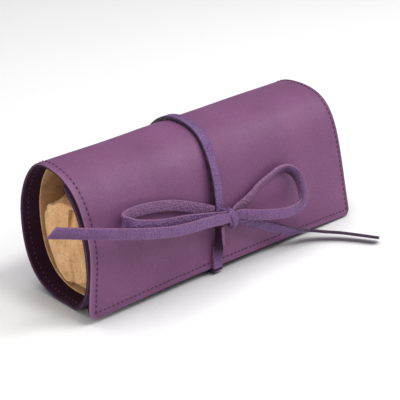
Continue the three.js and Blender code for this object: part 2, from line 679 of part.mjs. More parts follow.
function toothRow(side) {
  const shape = new THREE.Shape();
  const outer = BEAD_INNER + BEAD_WIDTH;
  const offset = side > 0 ? 0 : TOOTH_PITCH / 2;
  const count = Math.floor((2 * ZIP_HALF_LENGTH) / TOOTH_PITCH) - 1;
  shape.moveTo(-ZIP_HALF_LENGTH, outer);
  shape.lineTo(-ZIP_HALF_LENGTH, BEAD_INNER);
  for (let i = 0; i < count; i += 1) {
    const middle = -ZIP_HALF_LENGTH + (i + 0.75) * TOOTH_PITCH + offset;
    shape.lineTo(middle - TOOTH_WIDTH / 2, BEAD_INNER);
    shape.lineTo(middle - TOOTH_WIDTH / 2, -TOOTH_REACH_LENGTH);
    shape.lineTo(middle + TOOTH_WIDTH / 2, -TOOTH_REACH_LENGTH);
    shape.lineTo(middle + TOOTH_WIDTH / 2, BEAD_INNER);
  }
  shape.lineTo(ZIP_HALF_LENGTH, BEAD_INNER);
  shape.lineTo(ZIP_HALF_LENGTH, outer);
  shape.closePath();
  const geometry = extrude(shape, TOOTH_HEIGHT);
  if (side < 0) geometry.rotateX(Math.PI).translate(0, 0, TOOTH_HEIGHT);
  return geometry;
}

function zipSlider() {
  const inside = BEAD_INNER + BEAD_WIDTH + ZIP_GAP;
  const outside = inside + SLIDER_WALL;
  const roofZ = ZIP_TEETH_BASE + TOOTH_HEIGHT + ZIP_GAP;
  const saddle = new THREE.Shape();
  saddle.moveTo(-outside, ZIP_TEETH_BASE);
  saddle.lineTo(-inside, ZIP_TEETH_BASE);
  saddle.lineTo(-inside, roofZ);
  saddle.lineTo(inside, roofZ);
  saddle.lineTo(inside, ZIP_TEETH_BASE);
  saddle.lineTo(outside, ZIP_TEETH_BASE);
  saddle.lineTo(outside, SLIDER_TOP - SLIDER_WALL / 2);
  saddle.lineTo(inside, SLIDER_TOP);
  saddle.lineTo(-inside, SLIDER_TOP);
  saddle.lineTo(-outside, SLIDER_TOP - SLIDER_WALL / 2);
  saddle.closePath();
  const body = extrude(saddle, SLIDER_LENGTH);
  body.translate(0, 0, -SLIDER_LENGTH / 2).rotateX(Math.PI / 2).rotateZ(Math.PI / 2);
  const half = BAIL_LENGTH / 2;
  const arch = new THREE.Shape();
  const foot = SLIDER_TOP - SLIDER_WALL / 2;
  const archTop = SLIDER_TOP + BAIL_HEIGHT;
  arch.moveTo(-half, foot);
  arch.lineTo(half, foot);
  arch.lineTo(half, archTop - BAIL_BAR);
  arch.lineTo(half - BAIL_BAR, archTop);
  arch.lineTo(BAIL_BAR - half, archTop);
  arch.lineTo(-half, archTop - BAIL_BAR);
  arch.closePath();
  const eye = new THREE.Path();
  eye.moveTo(BAIL_BAR - half, SLIDER_TOP);
  eye.lineTo(BAIL_BAR - half, archTop - BAIL_BAR);
  eye.lineTo(half - BAIL_BAR, archTop - BAIL_BAR);
  eye.lineTo(half - BAIL_BAR, SLIDER_TOP);
  eye.closePath();
  arch.holes.push(eye);
  const bail = extrude(arch, BAIL_WIDTH);
  bail.translate(0, 0, -BAIL_WIDTH / 2).rotateX(Math.PI / 2);
  return join(body, bail);
}

function zipPull() {
  const half = PULL_WIDTH / 2;
  const plate = new THREE.Shape();
  plate.moveTo(PULL_BAR / 2, -half);
  plate.lineTo(PULL_BAR / 2, half);
  plate.lineTo(-PULL_LENGTH + half, half);
  plate.absarc(-PULL_LENGTH + half, 0, half, Math.PI / 2, 1.5 * Math.PI, false);
  plate.closePath();
  const window = new THREE.Path();
  const side = BAIL_WIDTH / 2 + ZIP_GAP;
  window.moveTo(-PULL_BAR / 2, -side);
  window.lineTo(-PULL_WINDOW, -side);
  window.lineTo(-PULL_WINDOW, side);
  window.lineTo(-PULL_BAR / 2, side);
  window.closePath();
  plate.holes.push(window);
  return extrude(plate, PULL_THICKNESS, 6).translate(0, 0, -PULL_THICKNESS / 2);
}

function buildZip(name, zipY, topZ) {
  const tapeZ = topZ + ZIP_GAP + ZIP_TAPE_THICKNESS / 2;
  const length = 2 * ZIP_HALF_LENGTH;
  for (const [sideName, side] of [['left', -1], ['right', 1]]) {
    const tape = new THREE.BoxGeometry(length, ZIP_TAPE_WIDTH, ZIP_TAPE_THICKNESS);
    const tapeY = zipY + side * (ZIP_TAPE_SLIT + ZIP_TAPE_WIDTH) / 2;
    addPart(`${name}_zip_tape_${sideName}`, tape, 'tape', [0, tapeY, tapeZ]);
    addPart(`${name}_zip_teeth_${sideName}`, toothRow(side), 'brass', [0, zipY, topZ + ZIP_TEETH_BASE]);
  }
  const stopWidth = 2 * (BEAD_INNER + BEAD_WIDTH);
  const stop = new THREE.BoxGeometry(STOP_LENGTH, stopWidth, TOOTH_HEIGHT);
  const stopX = -ZIP_HALF_LENGTH - ZIP_GAP - STOP_LENGTH / 2;
  const stopZ = topZ + ZIP_GAP + TOOTH_HEIGHT / 2;
  addPart(`${name}_zip_stop`, stop, 'brass', [stopX, zipY, stopZ]);
  addPart(`${name}_zip_slider`, zipSlider(), 'brass', [SLIDER_REST_X, zipY, topZ]);
  addPart(`${name}_zip_pull`, zipPull(), 'brass', [SLIDER_REST_X, zipY, topZ + PULL_AXIS_HEIGHT]);
}

// The ring bar, its tabs and its snap

// The lowest the lining comes over the width of a tab
function crestInsideZ(x) {
  const { length } = panelLine('top', x);
  let lowest = Infinity;
  for (let i = 0; i <= INSIDE_STEPS; i += 1) {
    const point = sheetPoint('top', x, (i / INSIDE_STEPS) * length, SHEET_DEPTH);
    const overTab = Math.abs(point.y - RING_BAR_Y) <= TAB_WIDTH / 2 + TAB_GAP;
    if (overTab) lowest = Math.min(lowest, point.z);
  }
  return lowest;
}

function tabShape(side, upright, foot, drop) {
  const shape = new THREE.Shape();
  shape.moveTo(0, 0);
  shape.lineTo(side * foot, 0);
  shape.lineTo(side * foot, -TAB_THICKNESS);
  shape.lineTo(side * upright, -TAB_THICKNESS);
  shape.lineTo(side * upright, -drop);
  shape.lineTo(0, -drop);
  shape.closePath();
  return extrude(shape, TAB_WIDTH).translate(0, 0, -TAB_WIDTH / 2).rotateX(Math.PI / 2);
}

function buildRingBar() {
  const ceiling = Math.min(crestInsideZ(HALF_LENGTH), crestInsideZ(-HALF_LENGTH));
  const barZ = ceiling - RING_BAR_HEADROOM - RING_BAR_RADIUS;
  const half = RING_BAR_HALF_LENGTH;
  const profile = [[0, -half], [RING_BAR_RADIUS - RING_BAR_CROWN, -half]];
  for (const at of [-1, -0.5, 0.5, 1]) {
    profile.push([RING_BAR_RADIUS, at * (half - RING_BAR_CROWN)]);
  }
  profile.push([RING_BAR_RADIUS - RING_BAR_CROWN, half], [0, half]);
  const bar = new THREE.LatheGeometry(profile.map(([r, y]) => new THREE.Vector2(r, y)), TURNED_SIDES);
  bar.rotateZ(-Math.PI / 2);
  addPart('ring_bar', bar, 'suede', [0, RING_BAR_Y, barZ]);

  const tabX = half + TAB_GAP;
  const hingeZ = crestInsideZ(tabX + TAB_FOOT) - TAB_GAP;
  const hingeDrop = hingeZ - barZ + RING_BAR_RADIUS - RING_BAR_CROWN;
  const hinge = tabShape(1, TAB_THICKNESS, TAB_FOOT, hingeDrop);
  addPart('ring_bar_hinge_tab', hinge, 'leather', [tabX, RING_BAR_Y, hingeZ]);

  const snapX = -tabX - TAB_FOOT / 2 - TAB_THICKNESS / 2;
  const ceilingZ = crestInsideZ(snapX);
  const studHeight = SNAP_FLANGE + 2 * TAB_GAP;
  const snapTabZ = ceilingZ - TAB_GAP - studHeight - SNAP_FLANGE - 2 * TAB_GAP;
  const snapDrop = snapTabZ - barZ + RING_BAR_RADIUS - RING_BAR_CROWN;
  addPart('ring_bar_snap_tab', tabShape(-1, TAB_THICKNESS, TAB_FOOT, snapDrop), 'leather',
    [-tabX, RING_BAR_Y, snapTabZ]);
  const postEnd = -SNAP_FLANGE - studHeight + TAB_GAP;
  const stud = [[0, postEnd], [SNAP_POST_RADIUS, postEnd], [SNAP_POST_RADIUS, -SNAP_FLANGE],
    [SNAP_RADIUS, -SNAP_FLANGE], [SNAP_RADIUS, 0], [0, 0]];
  addPart('snap_stud', snapTurning(stud), 'brass', [snapX, RING_BAR_Y, ceilingZ - TAB_GAP]);
  const socket = SNAP_POST_RADIUS + TAB_GAP;
  const cap = [[socket, 0], [SNAP_RADIUS, 0], [SNAP_RADIUS, SNAP_FLANGE], [socket, SNAP_FLANGE], [socket, 0]];
  addPart('snap_cap', snapTurning(cap), 'brass', [snapX, RING_BAR_Y, snapTabZ + TAB_GAP]);
}

function snapTurning(profile) {
  const outline = profile.map(([r, z]) => new THREE.Vector2(r, z));
  return new THREE.LatheGeometry(outline, TURNED_SIDES).rotateX(Math.PI / 2);
}

buildSheets();
buildWraps();
buildBow();
buildPouches();
buildRingBar();

export default roll;
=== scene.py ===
# %% [markdown]
# # A leather jewelry roll, tied with a lace and a bow
# The roll is one long leather sheet. It starts at the tip of the front wall, turns under the floor,
# climbs the back, goes over the crest and comes down again as the flap. A flat lace holds it shut.
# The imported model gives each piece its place, and this file gives each piece its looks.

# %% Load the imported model
import json
import math

import bmesh
import bpy
import numpy as np
from mathutils import Vector
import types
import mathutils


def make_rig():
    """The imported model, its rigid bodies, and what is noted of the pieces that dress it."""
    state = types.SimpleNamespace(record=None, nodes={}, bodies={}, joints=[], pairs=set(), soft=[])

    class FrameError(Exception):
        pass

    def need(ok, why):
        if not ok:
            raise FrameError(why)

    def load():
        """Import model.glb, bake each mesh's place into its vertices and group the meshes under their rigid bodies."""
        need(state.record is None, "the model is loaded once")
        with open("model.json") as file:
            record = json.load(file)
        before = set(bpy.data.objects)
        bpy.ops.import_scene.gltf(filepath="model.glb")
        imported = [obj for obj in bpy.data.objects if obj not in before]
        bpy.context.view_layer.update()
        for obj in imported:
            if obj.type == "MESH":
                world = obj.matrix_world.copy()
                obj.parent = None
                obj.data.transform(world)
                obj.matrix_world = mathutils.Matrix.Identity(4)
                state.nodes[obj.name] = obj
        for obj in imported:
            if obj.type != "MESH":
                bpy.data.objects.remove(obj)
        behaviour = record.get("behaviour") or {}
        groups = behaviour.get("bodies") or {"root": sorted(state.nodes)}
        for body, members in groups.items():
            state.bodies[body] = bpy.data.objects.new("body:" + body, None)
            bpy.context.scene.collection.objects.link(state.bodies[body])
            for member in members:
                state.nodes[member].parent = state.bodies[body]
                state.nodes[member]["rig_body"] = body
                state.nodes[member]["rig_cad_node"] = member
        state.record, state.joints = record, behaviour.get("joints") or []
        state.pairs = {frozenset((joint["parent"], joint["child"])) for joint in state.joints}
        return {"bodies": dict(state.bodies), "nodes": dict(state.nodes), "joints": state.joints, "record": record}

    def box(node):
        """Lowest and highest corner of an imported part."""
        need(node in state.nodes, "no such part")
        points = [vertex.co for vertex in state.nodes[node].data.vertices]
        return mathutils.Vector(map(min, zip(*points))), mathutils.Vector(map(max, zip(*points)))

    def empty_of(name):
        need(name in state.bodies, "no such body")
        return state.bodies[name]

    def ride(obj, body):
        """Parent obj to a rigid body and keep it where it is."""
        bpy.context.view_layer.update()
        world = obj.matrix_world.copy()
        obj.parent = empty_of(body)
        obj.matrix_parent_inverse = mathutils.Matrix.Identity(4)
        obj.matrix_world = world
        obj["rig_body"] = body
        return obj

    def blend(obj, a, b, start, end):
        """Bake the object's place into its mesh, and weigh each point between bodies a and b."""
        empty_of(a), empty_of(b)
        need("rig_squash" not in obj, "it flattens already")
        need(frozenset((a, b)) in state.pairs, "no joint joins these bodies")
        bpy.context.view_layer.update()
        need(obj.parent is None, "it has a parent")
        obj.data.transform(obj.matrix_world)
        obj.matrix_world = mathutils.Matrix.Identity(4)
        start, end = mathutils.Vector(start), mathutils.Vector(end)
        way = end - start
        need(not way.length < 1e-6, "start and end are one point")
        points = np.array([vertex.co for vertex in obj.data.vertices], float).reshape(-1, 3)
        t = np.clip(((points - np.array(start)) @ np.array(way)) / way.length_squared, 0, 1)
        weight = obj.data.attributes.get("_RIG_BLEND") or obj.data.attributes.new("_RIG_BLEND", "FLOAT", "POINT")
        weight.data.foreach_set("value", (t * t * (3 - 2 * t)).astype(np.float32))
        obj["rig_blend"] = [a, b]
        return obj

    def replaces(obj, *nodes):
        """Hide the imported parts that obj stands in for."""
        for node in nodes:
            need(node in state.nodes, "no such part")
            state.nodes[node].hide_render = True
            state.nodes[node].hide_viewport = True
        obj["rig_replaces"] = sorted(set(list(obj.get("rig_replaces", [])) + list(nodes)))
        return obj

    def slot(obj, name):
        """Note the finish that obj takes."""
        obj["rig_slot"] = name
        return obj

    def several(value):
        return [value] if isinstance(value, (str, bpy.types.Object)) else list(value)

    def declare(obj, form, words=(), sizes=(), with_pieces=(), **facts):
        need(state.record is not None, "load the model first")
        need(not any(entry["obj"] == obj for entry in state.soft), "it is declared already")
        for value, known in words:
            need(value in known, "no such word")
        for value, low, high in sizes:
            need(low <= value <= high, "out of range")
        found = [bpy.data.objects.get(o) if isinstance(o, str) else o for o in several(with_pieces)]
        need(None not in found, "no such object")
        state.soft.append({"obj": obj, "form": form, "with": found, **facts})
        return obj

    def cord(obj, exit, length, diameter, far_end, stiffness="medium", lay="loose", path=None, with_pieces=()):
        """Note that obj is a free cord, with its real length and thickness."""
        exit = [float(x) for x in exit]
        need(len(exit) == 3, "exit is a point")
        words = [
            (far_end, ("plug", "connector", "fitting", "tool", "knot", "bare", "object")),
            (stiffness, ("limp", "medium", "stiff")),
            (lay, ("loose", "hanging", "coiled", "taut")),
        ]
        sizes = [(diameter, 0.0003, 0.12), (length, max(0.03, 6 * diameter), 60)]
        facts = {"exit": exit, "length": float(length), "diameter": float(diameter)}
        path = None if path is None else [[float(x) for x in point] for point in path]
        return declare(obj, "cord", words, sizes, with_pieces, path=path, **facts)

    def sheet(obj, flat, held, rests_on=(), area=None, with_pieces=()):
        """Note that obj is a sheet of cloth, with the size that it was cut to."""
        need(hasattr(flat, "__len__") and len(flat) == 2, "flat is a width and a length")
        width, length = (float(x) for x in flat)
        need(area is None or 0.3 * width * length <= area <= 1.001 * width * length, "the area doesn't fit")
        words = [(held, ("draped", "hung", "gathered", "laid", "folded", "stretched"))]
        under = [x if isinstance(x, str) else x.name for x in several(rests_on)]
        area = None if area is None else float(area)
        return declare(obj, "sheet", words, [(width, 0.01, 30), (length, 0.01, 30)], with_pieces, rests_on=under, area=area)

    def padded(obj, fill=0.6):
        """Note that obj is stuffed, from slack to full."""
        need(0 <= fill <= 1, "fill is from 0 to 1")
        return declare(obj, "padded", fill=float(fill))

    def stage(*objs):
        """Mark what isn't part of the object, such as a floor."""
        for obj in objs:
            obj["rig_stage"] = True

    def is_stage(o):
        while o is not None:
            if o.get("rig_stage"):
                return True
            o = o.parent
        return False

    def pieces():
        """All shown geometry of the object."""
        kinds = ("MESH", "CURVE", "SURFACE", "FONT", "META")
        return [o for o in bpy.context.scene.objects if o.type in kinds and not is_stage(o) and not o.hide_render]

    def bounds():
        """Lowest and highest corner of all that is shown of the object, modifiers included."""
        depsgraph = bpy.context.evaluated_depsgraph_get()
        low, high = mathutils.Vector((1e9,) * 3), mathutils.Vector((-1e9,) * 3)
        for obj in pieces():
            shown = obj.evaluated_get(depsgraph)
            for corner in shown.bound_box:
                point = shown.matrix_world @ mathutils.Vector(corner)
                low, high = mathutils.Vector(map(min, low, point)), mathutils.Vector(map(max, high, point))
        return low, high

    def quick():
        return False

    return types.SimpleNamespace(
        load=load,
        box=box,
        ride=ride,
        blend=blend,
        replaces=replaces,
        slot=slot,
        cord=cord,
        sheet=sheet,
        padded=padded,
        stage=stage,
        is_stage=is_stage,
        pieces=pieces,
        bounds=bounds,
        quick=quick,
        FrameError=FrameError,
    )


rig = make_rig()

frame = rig.load()
CAD_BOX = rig.bounds()
MM = 0.001
print("bodies:", sorted(frame["bodies"]))
print("CAD box:", [[round(v, 4) for v in corner] for corner in CAD_BOX])

# %% [markdown]
# ## The camera
# A long lens from the front left, 25 degrees above the table, shows the open end, the flap and the bow.
# The distance and the lens come from matching the roll's corners, so nothing needs a shift.

# %% Camera
CAMERA_AT = (-0.4979, -0.5305, 0.3698)
CAMERA_AIM = (0.00796, 0.0, 0.02803)
CAMERA_LENS = 117


def shown(name, data):
    """A new object in the scene, at the origin."""
    obj = bpy.data.objects.new(name, data)
    bpy.context.scene.collection.objects.link(obj)
    return obj


def point_at(obj, place, target):
    """Puts a camera or a lamp at a place and turns it to a target."""
    obj.location = place
    obj.rotation_euler = (Vector(target) - Vector(place)).to_track_quat("-Z", "Y").to_euler()


camera = shown("photo_camera", bpy.data.cameras.new("photo_camera"))
camera.data.lens = CAMERA_LENS
point_at(camera, CAMERA_AT, CAMERA_AIM)
bpy.context.scene.camera = camera
print("camera looks from", CAMERA_AT)

# %% [markdown]
# ## A helper for materials
# Every finish is a Principled shader with a few textures in front of it. Textures read Object
# coordinates, in metres, so a scale of 1000 makes marks about a millimetre across.

# %% Material helper
def colour(code):
    """A linear colour from the sRGB code that a paint chart would give."""
    channels = [int(code[i:i + 2], 16) / 255 for i in (0, 2, 4)]
    linear = [c / 12.92 if c <= 0.04045 else ((c + 0.055) / 1.055) ** 2.4 for c in channels]
    return (*linear, 1.0)


class Finish:
    """A material, and the few kinds of texture that the roll needs."""

    def __init__(self, name, roughness, gloss=0.5, metallic=0.0):
        self.material = bpy.data.materials.new(name)
        self.material.use_nodes = True
        self.shader = self.material.node_tree.nodes["Principled BSDF"]
        self.normal = None
        self.set("Roughness", roughness)
        self.set("Specular IOR Level", gloss)
        self.set("Metallic", metallic)
        print("finish:", name)

    def feed(self, target, value):
        """Gives an input a value, a colour's code or what another node makes."""
        if isinstance(value, bpy.types.NodeSocket):
            self.material.node_tree.links.new(value, target)
        else:
            target.default_value = colour(value) if isinstance(value, str) else value

    def set(self, socket, value):
        self.feed(self.shader.inputs[socket], value)

    def node(self, kind, **values):
        """Adds a node. Each value goes to its property or its input of that name."""
        node = self.material.node_tree.nodes.new(kind)
        for key, value in values.items():
            if hasattr(node, key):
                setattr(node, key, value)
            else:
                self.feed(node.inputs[key.replace("_", " ")], value)
        return node

    def attribute(self, name, output="Fac"):
        return self.node("ShaderNodeAttribute", attribute_name=name).outputs[output]

    def noise(self, scale, detail=3.0, stretch=(1, 1, 1), over=None):
        """A noise in Object coordinates, or over those of the piece itself."""
        place = self.node("ShaderNodeTexCoord").outputs["Object"] if over is None else over
        mapping = self.node("ShaderNodeMapping", Scale=stretch, Vector=place)
        noise = self.node("ShaderNodeTexNoise", Scale=scale, Detail=detail, Vector=mapping.outputs["Vector"])
        return noise.outputs["Fac"]

    def ramp(self, source, low, high, start=0.3, end=0.7):
        """Colours from low to high, as the source goes from start to end."""
        node = self.node("ShaderNodeValToRGB", Fac=source)
        for element, position, shade in zip(node.color_ramp.elements, (start, end), (low, high)):
            element.position = position
            element.color = colour(shade) if isinstance(shade, str) else shade
        return node.outputs["Color"]

    def spread(self, source, low, high, start=0.3, end=0.7, **kind):
        """Values from low to high, as the source goes from start to end."""
        ends = {"From_Min": start, "From_Max": end, "To_Min": low, "To_Max": high}
        return self.node("ShaderNodeMapRange", Value=source, **ends, **kind).outputs["Result"]

    def mix(self, first, second, factor=None):
        """The second colour over the first by a factor, or with no factor the two multiplied."""
        node = self.node("ShaderNodeMix", data_type="RGBA", Factor=1.0 if factor is None else factor)
        if factor is None:
            node.blend_type = "MULTIPLY"
        for target, value in zip([s for s in node.inputs if s.type == "RGBA"], (first, second)):
            self.feed(target, value)
        return next(s for s in node.outputs if s.type == "RGBA")

    def bump(self, height, strength, distance):
        """A bump, on top of the bumps before it."""
        node = self.node("ShaderNodeBump", Height=height, Strength=strength, Distance=distance)
        if self.normal is not None:
            self.feed(node.inputs["Normal"], self.normal)
        self.normal = node.outputs["Normal"]
        self.set("Normal", self.normal)


# %% [markdown]
# ## The leather
# The cover is a smooth, dyed hide with a satin finish. Its grain is very fine and its colour drifts a little.
# The flap's left edge is paler: partly the hide's own paler edge, partly painted light where the main lamp
# lights it. The other edges are darkened with painted shade, where they face away from the lamp. The sewing
# sits in a shallow groove, which a bump on the distance from the edge draws without any extra mesh.

# %% Leather, facing and suede finishes
STITCH_INSET, RIGHT_STITCH_INSET = 4.0, 2.8
STITCH_GROOVE = 1.1


def leather_finish():
    finish = Finish("purple_leather", 0.46, gloss=0.36)
    hide = finish.ramp(finish.noise(26, 4), "76486f", "84537d")
    grain = finish.noise(1300, 2)
    body = finish.mix(hide, finish.ramp(grain, (0.84, 0.83, 0.84, 1), (1.12, 1.1, 1.12, 1)))
    # Painted shade darkens the rims away from the main lamp; the flap's left rim is paler, partly its own edge colour
    # and partly painted light.
    painted_shade_edges = finish.mix(body, "412539", finish.attribute("painted_shade_rim"))
    finish.set("Base Color", finish.mix(painted_shade_edges, "92658a", finish.attribute("pale_painted_light_rim")))
    finish.set("Roughness", finish.spread(finish.noise(90, 5), 0.5, 0.6))
    finish.bump(grain, 0.5, 0.0003)
    finish.bump(finish.noise(160, 6, (0.5, 1.6, 1.6)), 0.12, 0.0012)
    past_seam = finish.node("ShaderNodeMath", operation="SUBTRACT", Value=finish.attribute("from_edge"))
    past_seam.inputs[1].default_value = STITCH_INSET
    from_seam = finish.node("ShaderNodeMath", operation="ABSOLUTE", Value=past_seam.outputs[0])
    groove = finish.spread(from_seam.outputs[0], 0, 1, 0, STITCH_GROOVE, interpolation_type="SMOOTHSTEP")
    finish.bump(groove, 0.5, 0.0005)
    return finish.material


def facing_finish():
    finish = Finish("dark_facing", 0.7, gloss=0.12)
    finish.set("Base Color", finish.ramp(finish.noise(60, 4), "341c30", "3e233a"))
    finish.bump(finish.noise(1400, 2), 0.25, 0.00025)
    return finish.material


def suede_finish(name, dark, light, patch_scale):
    finish = Finish(name, 0.95, gloss=0.2)
    finish.set("Sheen Weight", 0.35)
    finish.set("Sheen Roughness", 0.5)
    finish.set("Sheen Tint", "f0d6ae")
    nap = finish.ramp(finish.noise(patch_scale, 6, (1, 1.4, 1)), dark, light, 0.28, 0.72)
    speck = finish.noise(900, 3)
    fibre = finish.ramp(speck, (0.76, 0.74, 0.71, 1), (1.12, 1.1, 1.08, 1))
    finish.set("Base Color", finish.mix(nap, fibre))
    finish.bump(speck, 0.5, 0.0006)
    finish.bump(finish.noise(130, 5), 0.35, 0.0022)
    return finish.material


LEATHER = leather_finish()
FACING = facing_finish()
LINING_SUEDE = suede_finish("tan_suede", "d09e70", "edc297", 110)
POUCH_SUEDE = suede_finish("pouch_suede", "c99766", "eabf8f", 90)

# %% [markdown]
# ## The lace's finish
# The lace is cut from thicker hide, dyed bluer, with a pebbled face. Its cut sides and the raw inside of the
# loops are pinker. Where it wraps the roll, and along the right tail, its cut sides are dark with painted
# shade. Its near face is mixed towards a nearly black painted shade below the knot, inside the right loop's
# turn and at the left tail's end. Each strap carries its own coordinates: how far along, across and through.

# %% Lace and thread finishes
# Nearly black: the colour of the painted shade on the lace's near face.
PAINTED_SHADE_COLOUR = "24131c"


def lace_finish(name, dark, light, sides):
    finish = Finish(name, 0.5)
    strap = finish.attribute("strap", "Vector")
    painted_shade = finish.attribute("painted_shade")
    drift = finish.noise(120, 4, over=strap)
    # The near face is mixed towards painted shade, and loses its gloss there.
    face = finish.mix(finish.ramp(drift, dark, light), PAINTED_SHADE_COLOUR, painted_shade)
    finish.set("Base Color", finish.mix(face, sides, finish.attribute("cut")))
    finish.set("Specular IOR Level", finish.spread(painted_shade, 0.5, 0.06, 0, 1))
    finish.set("Roughness", finish.spread(drift, 0.3, 0.48))
    pebble = finish.node("ShaderNodeTexVoronoi", Scale=860, Vector=strap)
    finish.bump(pebble.outputs["Distance"], 0.9, 0.00068)
    finish.bump(finish.noise(260, 3, (1.6, 0.25, 0.25), strap), 0.6, 0.001)
    return finish.material


def thread_finish(name, dark, light):
    finish = Finish(name, 0.7)
    twist = finish.noise(1200, 2)
    finish.set("Base Color", finish.ramp(twist, dark, light))
    finish.bump(twist, 0.3, 0.0002)
    return finish.material


LACE = lace_finish("lace_leather", "643c73", "7c508e", "875b82")
# Its cut sides are dark: painted shade on the edges that face away from the main lamp.
PAINTED_SHADE_SIDES_LACE = lace_finish("lace_with_painted_shade_sides", "6a447a", "7f5691", "38203c")
DARK_THREAD = thread_finish("plum_thread", "3a1a37", "4f2749")
PALE_THREAD = thread_finish("straw_thread", "5f4548", "84635c")

# %% [markdown]
# ## Meshes from rings
# Straps, sheets and pads are all lofts: rings of points, one after another, joined by quads and closed at
# both ends. One helper makes them all, with the normals turned outwards.

# %% Mesh helpers
def loft(name, rings, material, angle, values=None):
    """A closed piece from rings of points, with sharp edges above the angle. values go to its points."""
    rows, count = rings.shape[:2]
    faces = []
    for a in range(0, (rows - 1) * count, count):
        b = a + count
        faces += [(a + i, a + (i + 1) % count, b + (i + 1) % count, b + i) for i in range(count)]
    faces += [tuple(range(count)), tuple(range((rows - 1) * count, rows * count))]
    mesh = bpy.data.meshes.new(name)
    mesh.from_pydata([tuple(point) for point in rings.reshape(-1, 3)], [], faces)
    solid = bmesh.new()
    solid.from_mesh(mesh)
    bmesh.ops.recalc_face_normals(solid, faces=solid.faces)
    solid.to_mesh(mesh)
    solid.free()
    for key, value in (values or {}).items():
        value = np.asarray(value, np.float32)
        kind, field = ("FLOAT_VECTOR", "vector") if value.ndim == 2 else ("FLOAT", "value")
        mesh.attributes.new(key, kind, "POINT").data.foreach_set(field, value.ravel())
    mesh.materials.append(material)
    mesh.shade_smooth()
    mesh.set_sharp_from_angle(angle=math.radians(angle))
    return shown(name, mesh)


def tell(obj):
    print(obj.name, len(obj.data.polygons), "faces")


def xyz(x, y, z):
    """Points from their coordinates. A single number stands for all the points."""
    return np.stack(np.broadcast_arrays(x, y, z), axis=-1)


def hand_over(obj, body, slot, node):
    """Says which body carries a piece, what it is made of and which solid it stands for."""
    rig.ride(obj, body)
    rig.replaces(obj, node)
    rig.slot(obj, slot)


# %% Mesh helpers: straps
CORNER_STEPS = 3
CUT_REACH = 0.014
SIDE_FROM, SIDE_OVER = 0.8, 0.15


def strap_section(width, thickness, corner):
    """A rounded rectangle, as (across, through) points."""
    points = []
    for turn, (sx, sy) in enumerate(((1, 1), (-1, 1), (-1, -1), (1, -1))):
        for i in range(CORNER_STEPS + 1):
            angle = (turn + i / CORNER_STEPS) * math.pi / 2
            points.append((sx * (width / 2 - corner) + corner * math.cos(angle),
                           sy * (thickness / 2 - corner) + corner * math.sin(angle)))
    return np.array(points)


def run_along(line):
    """How far along a line each of its points lies."""
    return np.concatenate([[0], np.cumsum(np.linalg.norm(np.diff(line, axis=0), axis=1))])


def strap_mesh(name, centres, widths, outline, pinch=1.0, cut=0.0, material=LACE, painted_shade=0.0, raw=0.0):
    """A strap along a line of centres, and its length. pinch narrows it, cut slants its end."""
    tangents = np.gradient(centres, axis=0)
    tangents /= np.linalg.norm(tangents, axis=1)[:, None]
    widths = widths - np.sum(widths * tangents, axis=1)[:, None] * tangents
    widths /= np.linalg.norm(widths, axis=1)[:, None]
    through = np.cross(tangents, widths)
    run = run_along(centres)
    across = np.ones((len(centres), 1)) * pinch * outline[:, 0]
    rings = centres[:, None] + widths[:, None] * across[..., None] + through[:, None] * outline[:, 1:]
    near_end = np.clip(1 - (run[-1] - run) / CUT_REACH, 0, 1)[:, None]
    slant = near_end * (cut * outline[:, 0] / np.ptp(outline[:, 0]))
    rings += slant[..., None] * tangents[-1]
    sides = np.clip((np.abs(outline[:, 0]) / outline[:, 0].max() - SIDE_FROM) / SIDE_OVER, 0, 1)
    values = {
        "strap": xyz(run[:, None], across, outline[:, 1]).reshape(-1, 3),
        "cut": np.broadcast_to(np.maximum(sides, raw), across.shape).ravel(),
        "painted_shade": np.broadcast_to(painted_shade, across.shape).ravel(),
    }
    return loft(name, rings, material, 50, values), float(run[-1])


# %% [markdown]
# ## The bow
# Two loops and two tails leave the knot. Each is a fixed length of flat lace, standing on edge against the
# flap, so the routes are given point by point, as a florist lays out a bow. A smooth curve through
# the points gives the centre line, and a width direction at each point says how the lace turns.

# %% Bow: routes of the lace
LACE_WIDTH = 0.0065
LACE_THICKNESS = 0.002
KNOT_AT = np.array([-0.0045, -0.0385, 0.0327])

LOOP_LEFT = np.array([
    (-6.7, -35.8, 36.2), (-13.5, -35.6, 39.5), (-24.5, -34, 44.5), (-43.5, -32, 52), (-59.5, -31, 55.5),
    (-71.5, -31.2, 57), (-80.5, -33, 57.5), (-83.9, -35.6, 57.2), (-81.5, -38.2, 55.4), (-74.5, -39, 52.2),
    (-58.5, -39.8, 47.6), (-40.5, -39.9, 44.2), (-23.5, -39.6, 39.8), (-13.5, -39.1, 37.2),
    (-6.7, -38.5, 35.4),
]) * MM
TAIL_LEFT = np.array([
    (-6.7, -41.3, 35), (-15.5, -43.2, 37.6), (-27.5, -44.6, 40.2), (-42.5, -45.1, 42), (-56, -44.6, 44),
    (-74.5, -43, 48.5), (-96.5, -39.2, 54.4), (-111, -36.2, 58.4), (-121.8, -34.4, 61.8),
    (-131.4, -33.2, 64.8),
]) * MM
LOOP_RIGHT = np.array([
    (2.9, -35.8, 35.4), (8.6, -35.6, 37), (15.5, -35.2, 39.4), (24.5, -34, 43.4), (34.5, -33.1, 46.2),
    (43.5, -32.6, 48), (51, -33.6, 47.2), (55.3, -36.8, 43), (55.8, -41.6, 35.6), (53, -45.4, 28.4),
    (46, -47, 26.2), (35.5, -47, 26.6), (23.5, -45.6, 28.8), (12.4, -43.2, 31.4), (2.9, -40.2, 34),
]) * MM
TAIL_RIGHT = np.array([
    (2.9, -37.8, 30), (10.6, -39.6, 26.4), (19.5, -41.4, 21.8), (33.1, -43.8, 15), (46.1, -45.8, 10),
    (59, -48.7, 6.7), (66.4, -53.6, 5.2), (73.3, -59.9, 4.4), (79.8, -68.6, 3.8), (86.6, -80.2, 3.6),
]) * MM
